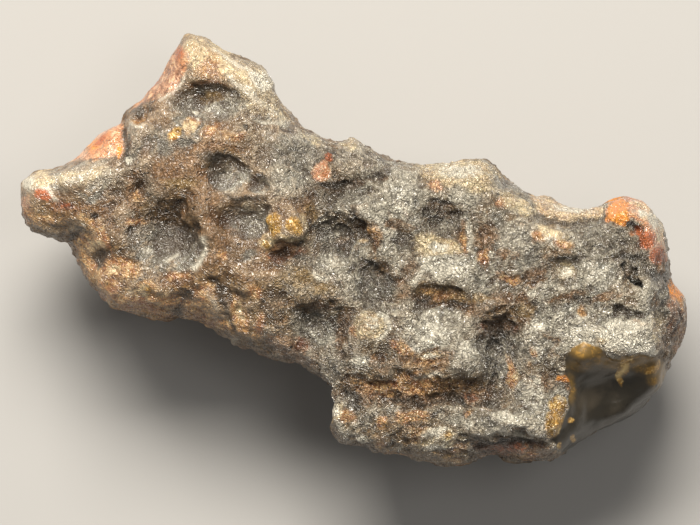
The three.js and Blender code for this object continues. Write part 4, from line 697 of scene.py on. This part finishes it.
def area_mask(x, y, outline):
    closed = outline + outline[:1]
    distance = np.abs(along_path(x, y, closed)[0])
    inside = np.zeros(len(x), bool)
    for (ax, ay), (bx, by) in zip(closed, closed[1:]):
        if ay != by:
            inside ^= ((ay > y) != (by > y)) & (x < ax + (bx - ax) * (y - ay) / (by - ay))
    return ramp(np.where(inside, distance, -distance), -AREA_EDGE, AREA_EDGE)


# --- the stone's mesh

points, faces = welded(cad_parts[NODE].data)
points, faces = refined(points, faces, lambda middles, lengths: lengths > 0)
points, faces = refined(points, faces, lambda middles, lengths: middles[:, 2] > FINE_ABOVE)
points, faces = refined(
    points, faces, lambda middles, lengths: (middles[:, 2] > FINEST_ABOVE) & (lengths > LONGEST_EDGE)
)
edges, _ = edges_of(faces)
count = np.bincount(edges.reshape(-1), minlength=len(points)).astype(float)[:, None]


def smoothed(values, steps):
    for _ in range(steps):
        values = neighbour_sum(values, edges) / count
    return values


smooth_normals = smoothed(normals_of(points, faces), 4)
smooth_normals /= np.linalg.norm(smooth_normals, axis=1)[:, None]
height = points[:, 2]

sway = drift(points, (0.80, 3.2, (5, 6)), (0.35, 1.2, (7, 8)))
x, y = (points[:, :2] + sway).T
calm_x, calm_y = (points[:, :2] + CALM_SHARE * sway).T
on_top = ramp(smooth_normals[:, 2], -0.20, 0.25) * ramp(height, FLANK_BELOW, FLANK_BELOW + 4)
seen = ramp(height + 2.5 * wave(points, 5.0, 93), UNSEEN_BELOW, UNSEEN_BELOW + 3)
seen *= ramp(smooth_normals[:, 2], -0.45, -0.05)

masks = {}
for name, patches in PATCHES.items():
    place = (calm_x, calm_y) if name in CALM else (x, y)
    masks[name] = patch_mask(*place, patches)
for name, outline, strength in AREAS:
    place = points[:, :2] + (CALM_SHARE if name == "glass" else AREA_SHARE) * sway
    masks[name] = np.maximum(masks[name], strength * area_mask(*place.T, outline))
rim_distance, _ = along_path(*(points[:, :2] + RIM_SHARE * sway).T, WINDOW_RIM)
masks["rim"] = np.exp(-((rim_distance / RIM_WIDTH) ** 2))
masks["highlight_and_vein"] = np.zeros(len(points))
for path, half, strength in HIGHLIGHT_AND_VEIN_LINES:
    masks["highlight_and_vein"] = np.maximum(masks["highlight_and_vein"], strip(calm_x, calm_y, path, strength, half))
masks = {name: values * seen for name, values in masks.items()}
masks["warm"] = np.clip(ramp(points[:, 0], GREY_FROM, WARM_TO) + 0.35 * wave(points, 7.0, 91), 0, 1)
# Painted shade: steep sides that face away from the key light are painted brown, and are crumbly too.
shaded_steep = ramp(smooth_normals[:, 2], 0.70, 0.35) * ramp(smooth_normals[:, 1], 0.2, -0.2)
shaded_steep *= (1 - masks["glass"]) * seen
masks["brown"] = np.maximum(masks["brown"], 0.95 * shaded_steep)
crumbly = np.maximum(patch_mask(x, y, CRUMBLY) * on_top, 0.6 * shaded_steep)
polished = np.clip(np.maximum(masks["glass"], masks["polish"]), 0, 1)
rough = 1 - 0.85 * smooth_step(1.3 * polished)

blunt = np.clip(patch_mask(points[:, 0], points[:, 1], WORN_ROUND), 0, 1)[:, None] * on_top[:, None]
for _ in range(WORN_STEPS):
    points = points + 0.5 * blunt * (smoothed(points, 1) - points)
normals = normals_of(points, faces)

relief = np.zeros(len(points))
uneven = 0.75 + 0.8 * wave(points, 2.0, 81)
for entry in LEDGES:
    relief += ledge(x, y, *entry) * uneven
for entry in SCOOPS:
    relief += scoop(x, y, *entry)
for entry in MOUNDS:
    relief -= scoop(x, y, *entry)
for entry in SEAMS:
    relief -= strip(x, y, *entry)
for entry in RIDGES:
    relief += strip(x, y, *entry) * uneven
relief *= on_top

warped = points + drift(points, (0.9, 3.2, (11, 12, 13)), (0.35, 1.3, (14, 15, 16)))
near, second = cell_distance(warped, 1.7, 21)
crumbs = CRUMB_HEIGHT * (ramp(second - near, 0, 0.5) - 0.5)
folds = FOLD_HEIGHT * ramp(np.abs(wave(warped, 2.3, 31)), 0.3, 0)
curls = CURL_HEIGHT * ramp(np.abs(wave(warped, 1.2, 32)), 0.35, 0)
grain = GRAIN_HEIGHT * billow(warped, 1.0, 2, 41)
crisp = (1 - 0.5 * masks["warm"]) * (1 + 0.9 * masks["crumple"])
relief += rough * (crumbly * crumbs + crisp * (folds + curls + grain))
relief += SWELL_HEIGHT * billow(points, 3.0, 2, 61)
flank_lumps = FLANK_HEIGHT * billow(points, 4.0, 3, 71) + FLANK_GRAIN * billow(warped, 1.6, 2, 72)
relief += (1 - on_top) * flank_lumps

resting = ramp(points[:, 2], RESTING_BELOW, RESTING_BELOW + 1.2)
points = points + normals * (relief * resting)[:, None]
points = np.clip(points, np.array(cad_box[0]) / MM, np.array(cad_box[1]) / MM)

facing = normals_of(points, faces)
# How sunk or raised the surface is, at a fine and a broad scale; the material paints shade in the hollows and
# highlights on the raised rims from it.
fine_hollow, broad_hollow = (
    np.einsum("ij,ij->i", smoothed(points, steps) - points, facing) for steps in (4, 40)
)
masks["hollow"] = np.clip(0.5 + 1.7 * fine_hollow + 0.95 * broad_hollow, 0, 1)
masks["top"] = on_top
# Painted shade: slopes that face away from the key light, which the material turns olive brown.
masks["shade_side"] = np.clip((-smoothed(facing, 6)[:, 1] - 0.10) / 0.35, 0, 1) * on_top

mesh = bpy.data.meshes.new("agate_stone")
mesh.vertices.add(len(points))
mesh.vertices.foreach_set("co", (points * MM).astype(np.float32).ravel())
mesh.loops.add(len(faces) * 3)
mesh.loops.foreach_set("vertex_index", faces.astype(np.int32).ravel())
mesh.polygons.add(len(faces))
mesh.polygons.foreach_set("loop_start", np.arange(0, len(faces) * 3, 3, dtype=np.int32))
mesh.polygons.foreach_set("use_smooth", np.ones(len(faces), bool))
mesh.update(calc_edges=True)
mesh.validate()
for name, values in masks.items():
    attribute = mesh.attributes.new(name, "FLOAT", "POINT")
    attribute.data.foreach_set("value", values.astype(np.float32))
stone = bpy.data.objects.new("agate_stone", mesh)
bpy.context.scene.collection.objects.link(stone)
print("stone", len(points), "vertices", len(faces), "triangles")

# --- material


class Graph:
    """Short names for the nodes that the stone's material uses. Spans are in millimetres."""

    def __init__(self, name):
        self.material = bpy.data.materials.new(name)
        self.material.use_nodes = True
        self.tree = self.material.node_tree
        self.tree.nodes.clear()
        self.place = self.node("ShaderNodeVectorMath", operation="SCALE")
        self.feed(self.place, {0: self.node("ShaderNodeTexCoord").outputs["Object"], "Scale": 1 / MM})

    def node(self, kind, **settings):
        made = self.tree.nodes.new(kind)
        for key, value in settings.items():
            setattr(made, key, value)
        return made

    def feed(self, made, values):
        """Gives sockets their values: numbers and colours are set, and outputs are linked."""
        for key, value in values.items():
            if isinstance(value, (int, float)):
                made.inputs[key].default_value = value
            elif isinstance(value, tuple):
                made.inputs[key].default_value = (*value, 1.0)
            else:
                self.tree.links.new(value, made.inputs[key])
        return made

    def noise(self, span, detail, roughness, distortion=0.0, shift=0.0):
        made = self.node("ShaderNodeTexNoise", noise_dimensions="4D")
        values = {"Vector": self.place.outputs[0], "W": shift, "Scale": 1 / span, "Detail": detail}
        return self.feed(made, {**values, "Roughness": roughness, "Distortion": distortion}).outputs["Fac"]

    def mask(self, name):
        return self.node("ShaderNodeAttribute", attribute_name=name).outputs["Fac"]

    def math(self, operation, a, b=0.0, clamp=False):
        made = self.node("ShaderNodeMath", operation=operation, use_clamp=clamp)
        return self.feed(made, {0: a, 1: b}).outputs[0]

    def times(self, a, b):
        return self.math("MULTIPLY", a, b)

    def plus(self, a, b, clamp=False):
        return self.math("ADD", a, b, clamp)

    def greater(self, a, b, clamp=False):
        return self.math("MAXIMUM", a, b, clamp)

    def off_centre(self, texture, amount):
        return self.times(self.math("SUBTRACT", texture, 0.5), amount)

    def span(self, value, low, high, to_low=0.0, to_high=1.0):
        made = self.node("ShaderNodeMapRange", interpolation_type="SMOOTHSTEP")
        values = {"Value": value, "From Min": low, "From Max": high, "To Min": to_low, "To Max": to_high}
        return self.feed(made, values).outputs["Result"]

    def blend(self, factor, a, b):
        return self.feed(self.node("ShaderNodeMix", data_type="RGBA"), {0: factor, 6: a, 7: b}).outputs[2]

    def broken(self, name, spread, sharpness, texture):
        """A mask whose edge is broken up by a texture."""
        value = self.times(self.mask(name), self.plus(self.off_centre(texture, spread), 1.0))
        return self.span(value, 0.5 - sharpness, 0.5 + sharpness)

    def curl(self, span, distortion, shift, width):
        """Thin winding lines, 1 on the line and 0 off it."""
        away = self.math("SUBTRACT", self.noise(span, 1, 0.5, distortion, shift), 0.5)
        return self.span(self.math("ABSOLUTE", away), width, 0.0)


g = Graph("agate_rind")
broad = g.noise(7.0, 3, 0.5)
patchy = g.noise(3.4, 3, 0.55, 0.5, 27.0)
middle = g.noise(1.8, 4, 0.6, 0.6, 3.0)
fine = g.noise(0.6, 3, 0.6, 0.8, 7.0)
speck = g.noise(0.28, 2, 0.6, 0.0, 11.0)
long_curls = g.curl(1.0, 1.6, 15.0, 0.10)
short_curls = g.curl(0.48, 1.2, 19.0, 0.12)
hollow = g.mask("hollow")

DARK_CRUST = (0.034, 0.026, 0.018)
BLUE_GREY = (0.17, 0.158, 0.126)
OLIVE_GREY = (0.23, 0.162, 0.092)
# The pale crust paints highlights on raised rims, with some wear, and glints.
PALE_CRUST = (0.56, 0.51, 0.4)
BROWN = (0.235, 0.118, 0.046)
DEEP_BROWN = (0.036, 0.019, 0.01)
LIGHT_BROWN = (0.22, 0.128, 0.062)
OLIVE = (0.27, 0.17, 0.06)
BLACK = (0.016, 0.012, 0.008)
SLATE = (0.155, 0.15, 0.124)
DARK_SLATE = (0.052, 0.047, 0.037)
# Painted sheen and glints.
SILVER_SHEEN = (0.42, 0.395, 0.32)
WHITE_AND_GLINT = (0.74, 0.69, 0.56)
CREAM = (0.72, 0.59, 0.36)
TAN = (0.38, 0.25, 0.135)
AMBER = (0.54, 0.29, 0.105)
ORANGE = (0.8, 0.3, 0.035)
RED = (0.48, 0.135, 0.045)
MAROON = (0.11, 0.04, 0.024)
RUST = (0.31, 0.125, 0.058)
SALMON = (0.72, 0.4, 0.25)
PEACH = (0.64, 0.26, 0.105)
GOLD = (0.5, 0.27, 0.05)
YELLOW = (0.8, 0.58, 0.24)
GLASS = (0.03, 0.025, 0.017)
SMOKE = (0.052, 0.042, 0.029)
HONEY = (0.19, 0.115, 0.03)

warm_share = g.plus(g.times(g.mask("warm"), 0.85), g.off_centre(broad, 1.6), True)
grit = g.span(g.plus(middle, g.off_centre(fine, 0.7)), 0.36, 0.60)
crumple = g.broken("crumple", 1.6, 0.45, middle)


def gritty(dark, light, share):
    """The light colour, going towards the dark one by that share in the grit's hollows."""
    return g.blend(grit, g.blend(share, light, dark), light)


# Crust: grey at the right and earthy at the left.
crust = gritty(DARK_CRUST, g.blend(g.span(patchy, 0.40, 0.60), BLUE_GREY, OLIVE_GREY), 0.40)
earth = gritty(DEEP_BROWN, g.blend(g.span(patchy, 0.38, 0.62), BROWN, LIGHT_BROWN), 0.55)
crust = g.blend(warm_share, crust, earth)
cover = {}
# The silver cover is a painted sheen.
for name, spread, sharpness, texture, share, dark, light, shade in (
    ("slate", 2.0, 0.28, middle, 0.85, DARK_SLATE, SLATE, 0.7),
    ("silver_sheen", 2.2, 0.28, middle, 0.80, SLATE, SILVER_SHEEN, 0.7),
    ("brown", 2.2, 0.30, fine, 0.88, DEEP_BROWN, BROWN, 0.8),
    ("rust", 2.0, 0.30, fine, 0.90, MAROON, RUST, 0.9),
    ("olive", 1.8, 0.30, middle, 0.90, DEEP_BROWN, OLIVE, 0.4),
):
    cover[name] = g.broken(name, spread, sharpness, texture)
    crust = g.blend(g.times(cover[name], share), crust, gritty(dark, light, shade))
earthy = g.greater(g.greater(cover["brown"], cover["rust"]), cover["olive"])
# Painted shade: olive brown on the slopes that face away from the key light.
shaded_walls = g.span(g.plus(g.mask("shade_side"), g.off_centre(middle, 0.9)), 0.15, 0.85)
crust = g.blend(g.times(shaded_walls, 0.45), crust, gritty(DEEP_BROWN, OLIVE, 0.8))

# Pale where it stands out, partly wear and partly a painted highlight on raised rims; painted shade where it
# is sunk in hollows; dark where it is crumpled or pitted.
rim_wear_and_highlight = g.span(g.math("SUBTRACT", hollow, g.off_centre(fine, 0.9)), 0.46, 0.22)
rim_wear_and_highlight = g.times(rim_wear_and_highlight, g.span(earthy, 0.0, 1.0, 0.50, 0.22))
crust = g.blend(rim_wear_and_highlight, crust, g.blend(warm_share, PALE_CRUST, TAN))
hollow_shade = g.span(g.plus(hollow, g.off_centre(fine, 0.5)), 0.55, 0.85)
pits = g.span(g.noise(0.75, 1, 0.5, 0.0, 33.0), 0.34, 0.26)
rusty = g.span(g.noise(2.2, 3, 0.6, 0.6, 23.0), 0.58, 0.70)
for place, share, paint in (
    (hollow_shade, 0.72, DEEP_BROWN),
    (crumple, 0.60, DARK_CRUST),
    # Mostly painted shadow: the dark patches go black.
    (g.broken("dark", 1.8, 0.35, fine), 0.85, BLACK),
    (pits, 0.85, BLACK),
    (rusty, 0.40, gritty(BROWN, TAN, 1.0)),
):
    crust = g.blend(g.times(place, share), crust, paint)
# Painted shade: the flanks and underside turn dark brown away from the top.
crust = g.blend(g.span(g.mask("top"), 0.98, 0.3, 0.0, 0.75), crust, gritty(DEEP_BROWN, BROWN, 1.0))
# Painted glints: pale winding lines over the crust, strongest on crumpled and silver crust and weaker on
# earthy crust.
painted_glints = g.times(g.greater(long_curls, g.times(short_curls, 0.8)), g.span(middle, 0.3, 0.7))
glint_share = g.times(g.greater(crumple, g.mask("silver_sheen")), 0.45)
glint_share = g.plus(g.span(warm_share, 0.2, 0.9, 0.34, 0.12), glint_share)
glint_share = g.times(glint_share, g.span(earthy, 0.0, 1.0, 1.0, 0.45))
crust = g.blend(g.times(painted_glints, glint_share), crust, PALE_CRUST)

# Bright patches of crystal and polished stone, and white patches that are mostly painted glints.
sugar = g.span(fine, 0.50, 0.66)
amber = g.blend(sugar, gritty(RUST, AMBER, 0.9), g.blend(middle, AMBER, CREAM))
rosy = gritty(RUST, g.blend(g.span(patchy, 0.44, 0.58), SALMON, PEACH), 0.45)
colour = crust
for name, spread, sharpness, share, paint in (
    ("amber", 2.2, 0.35, 0.88, amber),
    ("salmon", 2.3, 0.25, 1.0, g.blend(g.times(sugar, 0.6), rosy, CREAM)),
    ("cream", 2.2, 0.35, 0.90, gritty(TAN, CREAM, 0.7)),
    ("white_and_glint", 3.0, 0.20, 0.90, WHITE_AND_GLINT),
    ("orange", 1.6, 0.25, 1.0, gritty(RED, ORANGE, 0.5)),
    ("red", 2.0, 0.25, 1.0, gritty(MAROON, RED, 0.35)),
):
    colour = g.blend(g.times(g.broken(name, spread, sharpness, fine), share), colour, paint)
# Painted shade in the creases of the fine relief, which the bump also sinks.
crease_shade = g.times(g.curl(0.9, 1.8, 29.0, 0.06), g.span(middle, 0.35, 0.60))
colour = g.blend(g.times(crease_shade, 0.70), colour, DEEP_BROWN)

# The window, the yellow crystals, the pale lines, which are mostly painted highlights, and the darkest blots,
# which are mostly painted shadow in crevices and holes.
glass = g.broken("glass", 0.2, 0.15, middle)
smoky = g.blend(g.span(patchy, 0.42, 0.62), GLASS, SMOKE)
honeyed = g.greater(g.span(g.mask("honey"), 0.1, 0.9), g.mask("rim"))
honeyed = g.times(honeyed, g.span(middle, 0.3, 0.6, 0.65, 0.95))
colour = g.blend(glass, colour, g.blend(honeyed, smoky, g.blend(g.times(sugar, 0.6), HONEY, GOLD)))
golden = g.blend(grit, g.blend(0.6, GOLD, DEEP_BROWN), g.blend(sugar, GOLD, YELLOW))
# Painted shade in the creases of the yellow crystals.
golden = g.blend(g.times(crease_shade, 0.6), golden, DEEP_BROWN)
colour = g.blend(g.broken("yellow", 1.6, 0.30, fine), colour, golden)
# Painted highlights along the pale lines, yellow where they run through the window as veins.
colour = g.blend(g.times(g.mask("highlight_and_vein"), 0.85), colour, g.blend(glass, WHITE_AND_GLINT, YELLOW))
# Painted shadow: black at the cores of the dark patches.
blots = g.times(g.broken("dark", 1.2, 0.15, fine), g.span(g.mask("dark"), 0.9, 1.15))
colour = g.blend(blots, colour, BLACK)

polish = g.greater(glass, g.times(g.span(g.mask("polish"), 0.1, 0.8), 0.5), True)
rough_crust = g.span(middle, 0.3, 0.7, 0.20, 0.38)
rough_crust = g.greater(rough_crust, g.span(g.mask("top"), 0.9, 0.2, 0.2, 0.70))
roughness = g.plus(g.times(g.math("SUBTRACT", 1.0, polish), rough_crust), g.times(polish, POLISHED_ROUGHNESS))

bumps = g.times(g.greater(pits, crease_shade), -0.6)
for texture, share in ((long_curls, 1.0), (fine, 0.8), (short_curls, 0.3), (speck, 0.08)):
    bumps = g.plus(bumps, g.times(texture, share))
strength = g.times(g.span(polish, 0.0, 1.0, 1.0, 0.06), g.span(warm_share, 0.2, 0.9, 1.0, 0.6))
bump = g.feed(g.node("ShaderNodeBump"), {"Height": bumps, "Distance": BUMP * MM, "Strength": strength})
coat = g.greater(g.span(warm_share, 0.2, 0.9, 0.8, 0.4), g.mask("silver_sheen"), True)
coat = g.times(coat, g.span(g.mask("top"), 0.2, 0.9))
coat = g.times(coat, g.span(earthy, 0.0, 1.0, 1.0, 0.5))
coat = g.times(coat, g.span(glass, 0.0, 1.0, 1.0, 0.0))

surface = {
    "Base Color": colour,
    "Roughness": roughness,
    "Normal": bump.outputs[0],
    "IOR": 1.54,
    "Specular IOR Level": 0.6,
    "Coat Weight": coat,
    "Coat IOR": 1.8,
    "Coat Roughness": 0.10,
    "Coat Normal": bump.outputs[0],
}
shader = g.feed(g.node("ShaderNodeBsdfPrincipled"), surface)
g.feed(g.node("ShaderNodeOutputMaterial"), {"Surface": shader.outputs[0]})
mesh.materials.append(g.material)

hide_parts(NODE)
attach(stone, "root")

# --- floor, light and camera

corners = [(sx * FLOOR_HALF, sy * FLOOR_HALF, 0) for sx, sy in ((-1, -1), (1, -1), (1, 1), (-1, 1))]
floor_mesh = bpy.data.meshes.new("floor")
floor_mesh.from_pydata(corners, [], [(0, 1, 2, 3)])
floor = bpy.data.objects.new("floor", floor_mesh)
floor.location.z = -FLOOR_GAP
bpy.context.scene.collection.objects.link(floor)
plain = bpy.data.materials.new("pale_floor")
plain.use_nodes = True
plain_shader = plain.node_tree.nodes["Principled BSDF"]
plain_shader.inputs["Base Color"].default_value = FLOOR_COLOUR
plain_shader.inputs["Roughness"].default_value = FLOOR_ROUGHNESS
floor_mesh.materials.append(plain)

for name, place, size, watts, tint in LIGHTS:
    data = bpy.data.lights.new(name, "AREA")
    data.shape = "RECTANGLE"
    data.size, data.size_y = size
    data.energy = watts
    data.color = tint
    light = bpy.data.objects.new(name, data)
    bpy.context.scene.collection.objects.link(light)
    light.location = place
    direction = np.array(LIGHT_TARGET) - np.array(place)
    light.rotation_mode = "QUATERNION"
    light.rotation_quaternion = Vector(direction).to_track_quat("-Z", "Y")

world = bpy.data.worlds.new("studio")
bpy.context.scene.world = world
world.use_nodes = True
background = world.node_tree.nodes["Background"]
background.inputs["Color"].default_value = WORLD_COLOUR
background.inputs["Strength"].default_value = WORLD_STRENGTH

camera_data = bpy.data.cameras.new("camera")
camera_data.sensor_width = SENSOR
camera_data.lens = SENSOR * CAMERA_DISTANCE / (PIXEL_MM * PICTURE_WIDTH)
camera_data.clip_start, camera_data.clip_end = CLIP
camera = bpy.data.objects.new("camera", camera_data)
camera.location = (VIEW_CENTRE[0] * MM, VIEW_CENTRE[1] * MM, (WIDEST_LEVEL + CAMERA_DISTANCE) * MM)
bpy.context.scene.collection.objects.link(camera)
bpy.context.scene.camera = camera
bpy.context.scene.view_settings.view_transform = "Standard"
